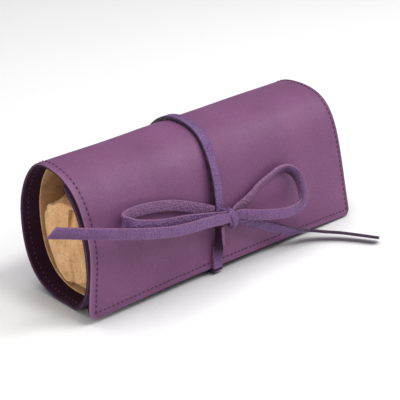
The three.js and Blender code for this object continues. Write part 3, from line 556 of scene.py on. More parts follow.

# %% Bow: how the lace turns, where its near face is raw, and where it carries painted shade
UPRIGHT = np.array((0, 0.15, 1))
LEANING = np.array((0, -0.45, 0.9))
OUTWARD = np.array((0.83, -0.46, 0.3))
ON_EDGE = np.array((-0.6, -0.65, 0.42))
TURN_FROM, TURN_TO = 4.5, 10
LOOP_STANDS = (0.6, 0.55, 0.45, 0.2)
TAIL_TURNS = (0, 0, 0, 0.3, 0.7, 1, 1, 1, 1, 1)
LOOP_LEFT_RAW = 0.7
LOOP_RIGHT_RAW = (1, 1, 1, 1, 1, 0.7, 0.3, 0.1, 0, 0, 0, 0, 0, 0, 0)
# Painted shade inside the right loop's turn and at the left tail's end, point by point.
LOOP_RIGHT_PAINTED_SHADE = (0.2, 0.1, 0, 0, 0.2, 0.7, 1, 1, 1, 0.7, 0.05, 0, 0, 0, 0)
TAIL_LEFT_PAINTED_SHADE = (0, 0, 0, 0, 0, 0, 0.1, 0.3, 0.42, 0.42)


def between(first, second, share):
    return first + (second - first) * share


def eased(value, low, high):
    """0 below low, 1 above high, and a smooth way from one to the other."""
    share = np.clip((np.asarray(value, float) - low) / (high - low), 0, 1)
    return share * share * (3 - 2 * share)


loop_right_widths = []
for i, a in enumerate(math.pi * eased(range(len(LOOP_RIGHT)), TURN_FROM, TURN_TO)):
    stand = between(LEANING, UPRIGHT, LOOP_STANDS[i]) if i < len(LOOP_STANDS) else LEANING
    side = stand if a < math.pi / 2 else UPRIGHT
    loop_right_widths.append(side * math.cos(a) + OUTWARD * math.sin(a))
tail_right_widths = [between(UPRIGHT, ON_EDGE, share) for share in TAIL_TURNS]

# %% Bow: smooth curves and straps
BOW_SECTION = strap_section(LACE_WIDTH, LACE_THICKNESS, 0.00055)
KNOT_CLEAR, KNOT_REACH = 0.004, 0.012
KNOT_PINCH, KNOT_TUCK = 0.84, 0.25
PAINTED_SHADE_FROM, PAINTED_SHADE_TO = -0.0022, 0.0016


def smooth_line(points, steps):
    """A centripetal Catmull-Rom curve through the points, and each step's place along them."""
    ends = np.vstack([2 * points[0] - points[1], points, 2 * points[-1] - points[-2]])
    places = np.linspace(0, len(points) - 1, steps)
    line = []
    for place in places:
        i = min(int(place), len(points) - 2)
        p = ends[i:i + 4]
        gaps = np.maximum(np.linalg.norm(np.diff(p, axis=0), axis=1), 1e-9) ** 0.5
        ticks = np.concatenate([[0], np.cumsum(gaps)])
        t = between(ticks[1], ticks[2], place - i)

        def part(first, second, start, end):
            return between(first, second, (t - ticks[start]) / (ticks[end] - ticks[start]))

        a = [part(p[k], p[k + 1], k, k + 1) for k in range(3)]
        b = [part(a[k], a[k + 1], k, k + 2) for k in range(2)]
        line.append(part(b[0], b[1], 1, 2))
    return np.array(line), places


def bow_strap(name, route, hints, ends, steps, cut, material, near, raw, dark):
    """One strap of the bow. Short lengths at one end or both are hidden in the knot."""
    hints = np.broadcast_to(hints, route.shape)
    rows = np.column_stack([route, hints, *(np.broadcast_to(v, len(route)) for v in (raw, dark))])
    hidden = rows[[0, -1]].copy()
    hidden[:, :3] = between(KNOT_AT, hidden[:, :3], KNOT_TUCK)
    hidden[:, 6:] = 0
    rows = np.vstack([hidden[:1], rows, hidden[1:ends]])
    line, places = smooth_line(rows[:, :3], steps)
    turned = np.stack([np.interp(places, np.arange(len(rows)), v) for v in rows[:, 3:].T], axis=1)
    from_knot = np.linalg.norm(line - KNOT_AT, axis=1)[:, None]
    pinch = between(KNOT_PINCH, 1, np.clip((from_knot - KNOT_CLEAR) / KNOT_REACH, 0, 1))
    near_face = near * BOW_SECTION[:, 1] > 0
    raw = turned[:, 3:4] * near_face
    # Painted shade on the near face, strongest towards the inner edge, where the loop's inside is in shade.
    dark = turned[:, 4:5] * near_face * eased(-BOW_SECTION[:, 0], PAINTED_SHADE_FROM, PAINTED_SHADE_TO)
    obj, length = strap_mesh(name, line, turned[:, :3], BOW_SECTION, pinch, cut, material, dark, raw)
    hand_over(obj, "flap", "lace", name.replace("lace_", ""))
    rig.cord(obj, exit=line[0], length=length, diameter=LACE_WIDTH, lay="loose", stiffness="medium",
            far_end="object" if ends == 2 else "bare", path=line)
    print(name, "is", round(length / MM), "mm long")


bow_strap("lace_bow_loop_left", LOOP_LEFT, UPRIGHT, 2, 160, 0.0, LACE, -1, LOOP_LEFT_RAW, 0)
bow_strap("lace_bow_loop_right", LOOP_RIGHT, loop_right_widths, 2, 150, 0.0, LACE, 1,
          LOOP_RIGHT_RAW, LOOP_RIGHT_PAINTED_SHADE)
bow_strap("lace_bow_tail_left", TAIL_LEFT, UPRIGHT, 1, 130, -0.0055, LACE, -1, 0, TAIL_LEFT_PAINTED_SHADE)
bow_strap("lace_bow_tail_right", TAIL_RIGHT, tail_right_widths, 1, 120, 0.0, PAINTED_SHADE_SIDES_LACE, 1, 0, 0)

# %% [markdown]
# ## The knot
# The knot is the lace wound once and a half round the bundle, pulled narrow and tight. Its strap slants down
# to the right, and its second turn lies on the first. A helix with a growing radius gives that.

# %% Knot
KNOT_LOW, KNOT_HIGH = (np.array(corner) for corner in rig.box("knot"))
KNOT_HALF = (KNOT_HIGH - KNOT_LOW) / 2
KNOT_START, KNOT_TURNS = -0.2, 1.55
KNOT_STEPS = 90
KNOT_SHIFT, KNOT_SLANT = 0.0012, 0.0019
KNOT_NARROW = 0.66
KNOT_GROWS = (0.66, 0.96)
KNOT_ACROSS = np.array((1.0, 0.0, 0.3))

turns = np.linspace(KNOT_START, KNOT_START + KNOT_TURNS, KNOT_STEPS) * 2 * math.pi
grown = np.linspace(*KNOT_GROWS, KNOT_STEPS)
knot_line = KNOT_AT + xyz(
    np.linspace(-KNOT_SHIFT, KNOT_SHIFT, KNOT_STEPS) - KNOT_SLANT * np.sin(turns),
    -KNOT_HALF[1] * grown * np.cos(turns),
    KNOT_HALF[2] * grown * np.sin(turns),
)
knot_section = strap_section(LACE_WIDTH * KNOT_NARROW, LACE_THICKNESS, 0.0007)
knot, _ = strap_mesh("lace_knot", knot_line, KNOT_ACROSS, knot_section)
hand_over(knot, "flap", "lace", "knot")
tell(knot)

# %% [markdown]
# ## The sheet's shape
# The section is six cubic curves, from the inner tip to the hem, with the same sizes as the solids. Only near
# the left end the heel is rounder, as it is where the roll stands open. A place on the sheet is (u, x): the
# whole part of u names the curve and the rest is the way along it. Depth goes inwards. Real leather is never
# quite even, so a slow swell and a dent under the lace are added here, once for all plies.

# %% Sheet: sizes in millimetres. A pair is for the left and the right end
ROLL_LENGTH = 2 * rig.box("cover_bottom")[1][0] / MM
HALF_LENGTH = ROLL_LENGTH / 2
HEIGHT = (83.8, 80)
CREST_Y = 7.5
BACK_Y, BACK_Z = 32.5, 44.8
FLOOR_BACK_Y, FLOOR_FRONT_Y = 9, -13
WALL_Y, WALL_Z = -29, 26
TIP_Y, TIP_BELOW_CREST = -7.3, 7.2
TIP_LEAN, TIP_DROP = (0.56, 0.46), 0.095
FOOT_RISE = (0.48, 0.3)
HEM_Y, HEM_Z, HEM_ARCH = (-35, -41.2), (2.6, 0.5), 2
HEM_RISE, HEM_LEAN = (58, 55), (0, 14.7)
SWEEP = (30.8, 35)
BEND_ROUND, HEEL_ROUND = 0.5, 0.42
END_CURL_SHARE, END_FLOOR_BACK_Y, END_HEEL_OUT, END_HEEL_UP = 0.38, -4, 0.65, 0.68
CROWN_WALL, CROWN_TOP = (0.5, 0.79), (0.5, 0.88)
CORNER_RADIUS = 5
GROOVE_X, GROOVE_HALF, GROOVE_SLOPE, GROOVE_DEPTH = -15, 5.25, 4, 2.6
LAST_U = 5.9999


def section(x):
    """Four control points for each of the six curves, at each X."""
    along = (x + HALF_LENGTH) / ROLL_LENGTH
    one = np.ones_like(along)
    pairs = (HEIGHT, TIP_LEAN, FOOT_RISE, HEM_Y, HEM_Z, HEM_LEAN, HEM_RISE, SWEEP, CROWN_WALL, CROWN_TOP)
    crest, tip_lean, foot_rise, hem_y, hem_z, lean, rise, sweep, crown_wall, crown_top = (
        between(*pair, along) for pair in pairs
    )
    tip = crest - TIP_BELOW_CREST
    hem_z = hem_z + HEM_ARCH * np.sin(math.pi * along)
    curl = 1 - eased(along, 0, END_CURL_SHARE)
    floor_back = between(FLOOR_BACK_Y, END_FLOOR_BACK_Y, curl)
    heel_out = between(HEEL_ROUND, END_HEEL_OUT, curl)
    heel_up = between(HEEL_ROUND, END_HEEL_UP, curl)
    curves = [
        [(TIP_Y, tip), (between(TIP_Y, WALL_Y, tip_lean), between(tip, WALL_Z, TIP_DROP)),
         (WALL_Y, between(WALL_Z, tip, foot_rise)), (WALL_Y, WALL_Z)],
        [(WALL_Y, WALL_Z), (WALL_Y, WALL_Z * (1 - BEND_ROUND)),
         (between(FLOOR_FRONT_Y, WALL_Y, BEND_ROUND), 0), (FLOOR_FRONT_Y, 0)],
        [(between(FLOOR_FRONT_Y, floor_back, i / 3), 0) for i in range(4)],
        [(floor_back, 0), (between(floor_back, BACK_Y, heel_out), 0),
         (BACK_Y, BACK_Z * (1 - heel_up)), (BACK_Y, BACK_Z)],
        [(BACK_Y, BACK_Z), (BACK_Y, between(BACK_Z, crest, crown_wall)),
         (between(CREST_Y, BACK_Y, crown_top), crest), (CREST_Y, crest)],
        [(CREST_Y, crest), (CREST_Y - sweep, crest), (hem_y + lean, hem_z + rise), (hem_y, hem_z)],
    ]
    return np.array([[[y * one, z * one] for y, z in curve] for curve in curves])


def on_curve(p, t):
    """The place at t on a cubic curve with four control points."""
    v = 1 - t
    return v ** 3 * p[0] + 3 * v * v * t * p[1] + 3 * v * t * t * p[2] + t ** 3 * p[3]


# %% Sheet: where the lace crosses it, and how the hide gives
LACE_FLOOR_X, LACE_LEAN, LACE_CURL = -15, 8, 5
SWELL, DENT, DENT_WIDTH = 0.22, 0.35, 6.5
LACED_FROM_U, LACED_TO_U = 2.9, 5.85
CORNER_PULL, PULL_FROM_U, PULL_FROM_X = 4.5, 5.7, 55


def curve_of(u):
    """Which of the six curves each u lies on."""
    return np.clip(np.floor(u), 0, 5).astype(int)


def lace_x(u):
    """The X of the lace: its loop leans to the right as it climbs, most near the crest."""
    u = np.asarray(u, float)
    part = curve_of(u)
    heights = section(np.array([LACE_FLOOR_X + LACE_LEAN]))[part, :, 1, 0]
    climb = on_curve(np.moveaxis(heights, -1, 0), u - part) / HEIGHT[0]
    return LACE_FLOOR_X + LACE_LEAN * climb + LACE_CURL * climb ** 5


def give(u, x):
    """How far the leather stands in from its drawn line: a slow swell, and a dent under the lace."""
    swell = SWELL * np.sin(x / 17 + 1.7 * u) * np.sin(x / 41 + 2.3 * u + 1)
    laced = np.clip((u - LACED_FROM_U) / 0.3, 0, 1) * np.clip((LACED_TO_U - u) / 0.1, 0, 1)
    return swell + DENT * laced * np.exp(-(((x - lace_x(u)) / DENT_WIDTH) ** 2))


def pulled(u, x):
    """X after the flap's left corner has been pulled a little longer, as the hide was on this flap."""
    return x - CORNER_PULL * eased(u, PULL_FROM_U, 6) * eased(-x, PULL_FROM_X, HALF_LENGTH)


# %% Sheet: places on it
def sheet_at(u, x, depth=0.0):
    """Points of the sheet in metres, at places (u, x) and a depth in millimetres."""
    u, x, depth = np.broadcast_arrays(*(np.asarray(a, float) for a in (u, x, depth)))
    part = curve_of(u)
    p = np.take_along_axis(section(x), part[None, None, None], axis=0)[0]
    t = u - part
    v = 1 - t
    y, z = on_curve(p, t)
    slope = v * v * (p[1] - p[0]) + 2 * v * t * (p[2] - p[1]) + t * t * (p[3] - p[2])
    slope = slope / np.linalg.norm(slope, axis=0)
    deep = depth + give(u, x)
    low = (u > 1) & (u < 4)
    lift = np.clip((GROOVE_HALF + GROOVE_SLOPE - np.abs(x - GROOVE_X)) / GROOVE_SLOPE, 0, 1)
    lift = lift * np.clip(GROOVE_DEPTH - z, 0, None) * low
    z = np.maximum(z + slope[0] * deep + lift, depth * low)
    return xyz(pulled(u, x), y - slope[1] * deep, z) * MM


def run_length(u0, u1, x=0.0):
    """The way along the sheet between two places, in millimetres."""
    line = sheet_at(np.linspace(u0, min(u1, LAST_U), 120), x)
    return float(run_along(line)[-1] / MM)


def u_from_edge(edge, distance, x):
    """The u that lies a distance in from the tip or from the hem, at each X."""
    grid = np.linspace(0, 1, 160)
    u = grid if edge == "tip" else 6 - grid
    runs = (run_along(sheet_at(np.clip(u, 0, LAST_U), column)) / MM for column in np.atleast_1d(x))
    return np.clip([np.interp(distance, run, u) for run in runs], 0, LAST_U)


print("sheet from tip to hem:", round(run_length(0, 6)), "mm")

# %% [markdown]
# ## The folds
# When the roll is opened, the sheet bends at six places. Each fold gets one piece of each ply, which bends
# between the two panels that meet there. The pieces meet where the sheet only follows one panel, so the
# joins stay shut at every pose and don't show.

# %% Folds: (name, from u, to u, first body, second body, bend starts, bend ends, nodes' panels)
FOLDS = [
    ("front", 0.0, 2.5, "base", "front_wall", 2.1, 1.05, ["front"]),
    ("heel", 2.5, 3.43, "base", "heel", 2.92, 3.33, ["bottom"]),
    ("rear", 3.43, 4.0, "heel", "back_wall", 3.45, 3.93, ["heel"]),
    ("nape", 4.0, 4.57, "back_wall", "crown", 4.05, 4.55, ["back"]),
    ("crest", 4.57, 5.12, "crown", "top_panel", 4.59, 5.08, ["crown"]),
    ("brow", 5.12, 6.0, "top_panel", "flap", 5.15, 5.56, ["top", "flap"]),
]
BEND = {name: (a, b, start, end) for name, _, _, a, b, start, end, _ in FOLDS}


def bend(obj, fold, slot, *nodes):
    """Says where a piece bends, which solids it stands for and what it is made of."""
    a, b, start, end = BEND[fold]
    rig.blend(obj, a, b, start=sheet_at(start, 0.0), end=sheet_at(end, 0.0))
    if nodes:
        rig.replaces(obj, *nodes)
    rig.slot(obj, slot)


def free_edge(u0, u1):
    """The free edge that a fold's piece ends in, if any."""
    return "tip" if u0 == 0 else "hem" if u1 == 6 else None


for name, u0, u1, a, b, *_ in FOLDS:
    print(name, "fold:", a, "to", b, "over", round(run_length(u0, u1)), "mm")

# %% [markdown]
# ## The plies
# Cover, facing and lining are the same sheet at three depths, each set in from the edges by its own margin.
# A row of the loft goes round a ply from end to end. Its ends are half round, as a turned edge is, and the
# rows crowd together at the tip and the hem to round those edges and their corners too.

# %% Plies: rows
ROW_STEP = 2.2
COLUMN_STEP = 2.6
EDGE_STEPS = 5
CORNER_ROWS = (1.6, 2.4, 3.4, 4.4)
THIN_EDGE = 0.003


def rows_between(u0, u1):
    rows = []
    for s in range(int(u0), math.ceil(u1)):
        low, high = max(u0, s), min(u1, s + 1)
        count = max(2, round(run_length(low, high) / ROW_STEP))
        rows.extend(np.linspace(low, high, count, endpoint=False))
    return np.array(rows + [min(u1, LAST_U)])


def ply_rows(u0, u1, columns, margin, thickness):
    """Each row: u at every column, how far its corners are drawn in, and its share of the thickness."""
    rows = [(np.full(columns.shape, u), 0.0, 1.0) for u in rows_between(u0, u1)]
    edge = free_edge(u0, u1)
    if edge is None:
        return rows
    radius = thickness / 2
    rounded = [radius * (1 - math.cos(i / EDGE_STEPS * math.pi / 2)) for i in range(EDGE_STEPS)]
    drawn = []
    for d in rounded + [radius, *CORNER_ROWS]:
        draw = CORNER_RADIUS - math.sqrt(max(0.0, CORNER_RADIUS ** 2 - (CORNER_RADIUS - d) ** 2))
        share = math.sqrt(max(THIN_EDGE, 1 - (1 - min(d, radius) / radius) ** 2))
        drawn.append((u_from_edge(edge, margin + d, columns), draw, share))
    clear = u_from_edge(edge, margin + CORNER_RADIUS + 1, columns)
    if edge == "tip":
        return drawn + [row for row in rows if row[0][0] > clear.max()]
    return [row for row in rows if row[0][0] < clear.min()] + drawn[::-1]


# %% Plies: rings
RIM_WIDTH = 1.1
# Where the rim takes the pale, partly painted light colour instead of painted shade: the flap, towards its left end.
PALE_PAINTED_LIGHT_FROM_U, PALE_PAINTED_LIGHT_TO_U = 4.7, 5.3
PALE_PAINTED_LIGHT_FROM_X, PALE_PAINTED_LIGHT_TO_X = 60, -40


def ply(name, u0, u1, outer, inner, margin, material):
    half = HALF_LENGTH - margin
    radius = (inner - outer) / 2
    columns = np.linspace(-1, 1, int(2 * half / COLUMN_STEP)) * (half - radius)
    arc = np.linspace(0, math.pi, 2 * EDGE_STEPS + 1)[1:-1]
    rings, rims, insets, pale_painted_light = [], [], [], []
    for u, draw, share in ply_rows(u0, u1, columns, margin, inner - outer):
        flat = columns * ((half - draw) / half)
        right_x, right_d = half - draw - radius + radius * np.sin(arc), -radius * np.cos(arc)
        x = np.concatenate([flat, right_x, flat[::-1], -right_x])
        face = np.full(flat.shape, radius)
        depth = np.concatenate([-face, right_d, face, -right_d])
        places = np.concatenate([u, np.full(arc.shape, u[-1]), u[::-1], np.full(arc.shape, u[0])])
        rings.append(sheet_at(places, x, (outer + inner) / 2 + depth * share))
        rim = np.clip(1 - (half - draw - np.abs(x)) / RIM_WIDTH, 0, 1)
        rims.append(np.maximum(rim, 1 - share))
        # Share of the rim that is pale and partly painted light; the rest of the rim carries painted shade.
        pale_painted_light.append(eased(places, PALE_PAINTED_LIGHT_FROM_U, PALE_PAINTED_LIGHT_TO_U) * eased(-x, -PALE_PAINTED_LIGHT_FROM_X, -PALE_PAINTED_LIGHT_TO_X))
        insets.append(half - np.abs(x) + (STITCH_INSET - RIGHT_STITCH_INSET) * (x > 0))
    rings, rims, pale_painted_light = np.array(rings), np.array(rims).ravel(), np.array(pale_painted_light).ravel()
    if u1 == 6:
        run = np.cumsum(np.linalg.norm(np.diff(rings, axis=0), axis=2)[::-1], axis=0)[::-1] / MM
        insets = np.minimum(insets, np.vstack([run, np.zeros((1, run.shape[1]))]))
    values = {"pale_painted_light_rim": rims * pale_painted_light, "painted_shade_rim": rims * (1 - pale_painted_light), "from_edge": np.array(insets).ravel()}
    return loft(name, rings, material, 60, values)


# %% Plies: make them
PLIES = [
    ("cover", 0.0, 1.2, 0.0, LEATHER, "leather"),
    ("facing", 1.22, 2.2, 0.2, FACING, "facing"),
    ("lining", 2.22, 3.2, 12.0, LINING_SUEDE, "suede_lining"),
]

for ply_name, outer, inner, margin, material, slot in PLIES:
    for fold, u0, u1, *_, panels in FOLDS:
        obj = ply(f"{ply_name}_{fold}_fold", u0, u1, outer, inner, margin, material)
        bend(obj, fold, slot, *(f"{ply_name}_{panel}" for panel in panels))
        free = margin if free_edge(u0, u1) else 0
        size = (2 * (HALF_LENGTH - margin) * MM, (run_length(u0, u1) - free) * MM)
        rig.sheet(obj, flat=size, held="folded")
        tell(obj)

# %% [markdown]
# ## The lace round the roll
# The rest of the lace lies flat on the leather. It starts under the knot, goes down to the hem and under the
# floor, climbs the back and comes over the crest to the knot again. It is made from the sheet's own shape, a
# little outside it, in the same fold pieces.

# %% Lace round the roll
WRAP_THICKNESS = 0.0026
LACE_DEPTH = -WRAP_THICKNESS / MM / 2
LACE_SECTION = strap_section(LACE_WIDTH, WRAP_THICKNESS, 0.0006)
LACE_STEPS = 36
LACE_FROM_U = 2.92
LACE_NODES = ("lace_heel", "lace_back", "lace_crown", "lace_top", "lace_upper")
TAUT_FROM, TAUT_TO, TAUT_RISE = 5.3, 5.72, 2.4
FLAT = np.array((1.0, 0.0, 0.0))


def laid_lace(name, u):
    """A strap on the leather, with its width along the roll. It is taut near the knot, and rises to it."""
    x = lace_x(u)
    taut = TAUT_RISE * eased(u, TAUT_FROM, TAUT_TO)
    line = sheet_at(u, x, LACE_DEPTH - give(u, x) * 0.6 - taut)
    line[:, 2] = np.maximum(line[:, 2], WRAP_THICKNESS / 2)
    return strap_mesh(name, line, FLAT, LACE_SECTION, material=PAINTED_SHADE_SIDES_LACE)[0]


upper = np.linspace(5.12, 5.95, 400)
upper_z = sheet_at(upper, lace_x(upper))[:, 2]
SHOULDER_U = float(upper[np.argmax(upper_z < KNOT_HIGH[2] - 0.001)])
for (fold, u0, u1, *_), node in zip(FOLDS[1:], LACE_NODES):
    u = np.linspace(max(u0, LACE_FROM_U), min(u1, SHOULDER_U), LACE_STEPS)
    bend(laid_lace(f"wrap_{fold}_fold", u), fold, "lace", node)
print("lace meets the knot at u =", round(SHOULDER_U, 3))

# %% Lace below the knot
LOWER_FROM_X, HEM_X = -13.5, -14.6
LOWER_STEPS = 50
TWIST_CLEAR = 3.6
ON_ITS_SIDE = np.array((0.0, -0.98, 0.2))

below = np.linspace(5.6, LAST_U, 300)
start_u = float(below[np.argmax(sheet_at(below, LOWER_FROM_X)[:, 2] < KNOT_LOW[2] + 0.002)])
share = np.linspace(0, 1, LOWER_STEPS)
settled = eased(share, 0.1, 0.95)
lower_x = between(LOWER_FROM_X, HEM_X, eased(share, 0, 1))
lower_line = sheet_at(between(start_u, LAST_U, share), lower_x, LACE_DEPTH - TWIST_CLEAR * (1 - settled))
lower_widths = between(ON_ITS_SIDE, FLAT, settled[:, None])
# Below the knot the near face is painted near black, as painted shade beside the flap.
lower, _ = strap_mesh("wrap_lower", lower_line, lower_widths, LACE_SECTION,
                      painted_shade=1 - eased(share, 0.45, 0.95)[:, None])
hand_over(lower, "flap", "lace", "lace_lower")
print("lace below the knot starts at u =", round(start_u, 3))

# %% Lace under the floor
HEM_BREAK = 0.0009
HEM_TURN = 0.0052
FLOOR_LACE_Z = 0.0013
TURN_STEPS, FLOOR_STEPS = 10, 30

hem = lower_line[-1] - np.array([0, 0, HEM_BREAK])
turn = np.linspace(0, math.pi / 2, TURN_STEPS)
down = xyz(hem[0], hem[1] + HEM_TURN * (1 - np.cos(turn)), between(hem[2], FLOOR_LACE_Z, np.sin(turn)))
floor_y = np.linspace(down[-1, 1], sheet_at(LACE_FROM_U, 0.0)[1], FLOOR_STEPS)[1:]
floor_x = np.interp(floor_y, [down[-1, 1], FLOOR_FRONT_Y * MM], [hem[0], GROOVE_X * MM])
under_line = np.vstack([down, xyz(floor_x, floor_y, FLOOR_LACE_Z)])
under, _ = strap_mesh("wrap_under", under_line, FLAT, LACE_SECTION, material=PAINTED_SHADE_SIDES_LACE)
hand_over(under, "base", "lace", "lace_under")
print("lace under the floor starts at", [round(v / MM, 1) for v in under_line[0]])

# %% [markdown]
# ## The stitching
# A row of dashes runs inside every edge, 4 mm in, and 2.8 mm at the right end. The same seam shows as paler
# dashes on the facing. Geometry Nodes follow a line on the leather, drop a small rounded dash at each pitch
# and turn it along the line, so one tree sews the whole roll.

# %% Stitching: the tree
def stitch_tree():
    tree = bpy.data.node_groups.new("saddle_stitch", "GeometryNodeTree")
    for name, kind in (("Line", "Geometry"), ("Pitch", "Float"), ("Length", "Float"), ("Thickness", "Float"),
                       ("Thread", "Material")):
        tree.interface.new_socket(name, in_out="INPUT", socket_type="NodeSocket" + kind)
    tree.interface.new_socket("Stitches", in_out="OUTPUT", socket_type="NodeSocketGeometry")
    node = tree.nodes.new
    given, made, size = node("NodeGroupInput"), node("NodeGroupOutput"), node("ShaderNodeCombineXYZ")
    kinds = ("CurveToPoints", "InstanceOnPoints", "MeshUVSphere", "Transform", "RealizeInstances",
             "SetShadeSmooth", "SetMaterial")
    points, place, dash, shape, real, smooth, thread = (node("GeometryNode" + kind) for kind in kinds)
    points.mode = "LENGTH"
    for key, value in (("Segments", 8), ("Rings", 6), ("Radius", 0.5)):
        dash.inputs[key].default_value = value
    for source, output, target, socket in (
        (given, "Line", points, "Curve"), (given, "Pitch", points, "Length"),
        (given, "Thickness", size, "X"), (given, "Thickness", size, "Y"), (given, "Length", size, "Z"),
        (dash, "Mesh", shape, "Geometry"), (size, "Vector", shape, "Scale"),
        (points, "Points", place, "Points"), (points, "Rotation", place, "Rotation"),
        (shape, "Geometry", place, "Instance"), (place, "Instances", real, "Geometry"),
        (real, "Geometry", smooth, "Geometry"), (smooth, "Geometry", thread, "Geometry"),
        (given, "Thread", thread, "Material"), (thread, "Geometry", made, "Stitches"),
    ):
        tree.links.new(source.outputs[output], target.inputs[socket])
    return tree


STITCH_TREE = stitch_tree()


def modified(obj):
    """A plain mesh of the object with its modifiers applied."""
    return bpy.data.meshes.new_from_object(obj.evaluated_get(bpy.context.evaluated_depsgraph_get()))


def sew(name, lines, **sizes):
    """Dashes along the lines, as one plain mesh. The sizes are the tree's inputs."""
    curve = bpy.data.curves.new(name, "CURVE")
    curve.dimensions = "3D"
    for line in lines:
        spline = curve.splines.new("POLY")
        spline.points.add(len(line) - 1)
        spline.points.foreach_set("co", np.hstack([line, np.ones((len(line), 1))]).ravel())
    carrier = shown(name + "_line", curve)
    modifier = carrier.modifiers.new("stitches", "NODES")
    modifier.node_group = STITCH_TREE
    inputs = {s.name: s.identifier for s in STITCH_TREE.interface.items_tree if s.in_out == "INPUT"}
    for key, value in sizes.items():
        modifier[inputs[key]] = value
    bpy.context.view_layer.update()
    mesh = modified(carrier)
    mesh.name = name
    bpy.data.objects.remove(carrier)
    return shown(name, mesh)


# %% Stitching: sew every fold
STITCH_DEPTH = -0.05
STITCH_PITCH = 0.0031
FACING_INSET = 4.2
FACING_DEPTH = 2.2

for fold, u0, u1, *_ in FOLDS:
    edge = free_edge(u0, u1)
    for side, slot, inset, right_inset, depth, length, thick, thread in (
        ("outer", "leather", STITCH_INSET, RIGHT_STITCH_INSET, STITCH_DEPTH, 0.0020, 0.0007, DARK_THREAD),
        ("inner", "facing", FACING_INSET, FACING_INSET, FACING_DEPTH, 0.0010, 0.00045, PALE_THREAD),
    ):
        ends = (inset - HALF_LENGTH, HALF_LENGTH - right_inset)
        u = np.linspace(u0, min(u1, LAST_U), 120)
        if edge:
            stop = float(u_from_edge(edge, inset, 0.0)[0])
            u = u[u >= stop] if edge == "tip" else u[u <= stop]
        lines = [sheet_at(u, x, depth) for x in ends]
        if edge:
            x = np.linspace(*ends, 90)
            lines.append(sheet_at(u_from_edge(edge, inset, x), x, depth))
        seam = sew(f"stitches_{side}_{fold}_fold", lines, Pitch=STITCH_PITCH, Length=length,
                   Thickness=thick, Thread=thread)
        bend(seam, fold, slot)
        tell(seam)

# %% [markdown]
# ## The pouches
# Two soft suede pouches stand back to back inside the roll. The ends of the front one flare out behind, over
# the ends of the other, so the open end of the roll shows one soft face. Cloth with a little spare length,
# blown up inside, gives the puckers that suede has near a seam. The zip's strip is pinned so that it stays
# flat, and every point is kept close to where it started.

# %% Pouches: starting shapes
SHEET_DEPTH = 3.2
POUCH_CLEAR = 0.9
POUCH_STATIONS = 66
POUCH_ROWS = 24
FRONT_POUCH_LONG, BACK_POUCH_SHORT = 1.055, 0.9
END_SQUARE, END_SHRINK, END_THICK = 18, 0.06, 0.3
EDGE_ROUND, EDGE_THICK, SEAM_TUCK = 0.006, 0.25, 0.002
FLARE_FROM, FLARE_TO, FLARE_TOP_Y = 0.9, 0.95, 0.0285
END_RISE, END_LIFT = 0.006, 0.003
FLARE_SHORT, FLARE_SHORT_LOW = 0.0045, 0.011


def inner_wall(stretch, x, z):
    """Y of the inside of the roll at some heights, on one stretch of the sheet at one X."""
    line = sheet_at(np.linspace(*stretch, 200), x, SHEET_DEPTH + POUCH_CLEAR)
    order = np.argsort(line[:, 2])
    return np.interp(z, line[order, 2], line[order, 1])


def pouch_rings(node, walls, in_front):
    low, high = (np.array(corner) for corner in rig.box(node))
    half = high[0] * (FRONT_POUCH_LONG if in_front else BACK_POUCH_SHORT)
    rise = (1 - np.cos(np.linspace(0, math.pi, POUCH_ROWS))) / 2
    rings = []
    for at in np.sin(np.linspace(-math.pi / 2, math.pi / 2, POUCH_STATIONS)):
        full = (1 - abs(at) ** END_SQUARE) ** 0.5
        shrink = END_SHRINK * abs(at) ** END_SQUARE
        flare = eased(abs(at), FLARE_FROM, FLARE_TO) * in_front
        foot, top = low[2] + END_LIFT * flare, high[2] + END_RISE * flare
        z = foot + (top - foot) * (shrink + rise * (1 - 2 * shrink))
        share = np.clip((z - foot) / (top - foot), 0, 1)
        tuck = SEAM_TUCK * (1 - np.sin(share * math.pi))
        wall = inner_wall(walls[0], at * half / MM, z)
        if in_front:
            short = between(FLARE_SHORT_LOW, FLARE_SHORT, eased(share, 0, 0.6))
            behind = np.minimum(inner_wall(walls[1], at * half / MM, z) - short,
                                between(FLARE_TOP_Y, high[1], eased(share, 0.75, 1)))
            inner = between(high[1] - tuck, behind, flare)
        else:
            inner = low[1] + tuck
        middle = (inner + wall) / 2
        corner = np.clip(np.minimum(z - z[0], z[-1] - z) / EDGE_ROUND, 0, 1)
        thick = between(EDGE_THICK, 1, np.sqrt(1 - (1 - corner) ** 2))
        reach = (inner - wall) / 2 * thick * between(END_THICK, 1, full)
        y = np.concatenate([middle - reach, (middle + reach)[::-1]])
        rings.append(xyz(at * half, y, np.concatenate([z, z[::-1]])))
    return np.array(rings)


# %% Pouches: swell the cloth
SPARE_CLOTH = -0.06
SWELL_FRAMES = 18
SWELL_IN, SWELL_OUT, SWELL_REACH = -0.0035, 0.0004, 0.005
ZIP_HALF, ZIP_DEEP = 0.0065, 0.004


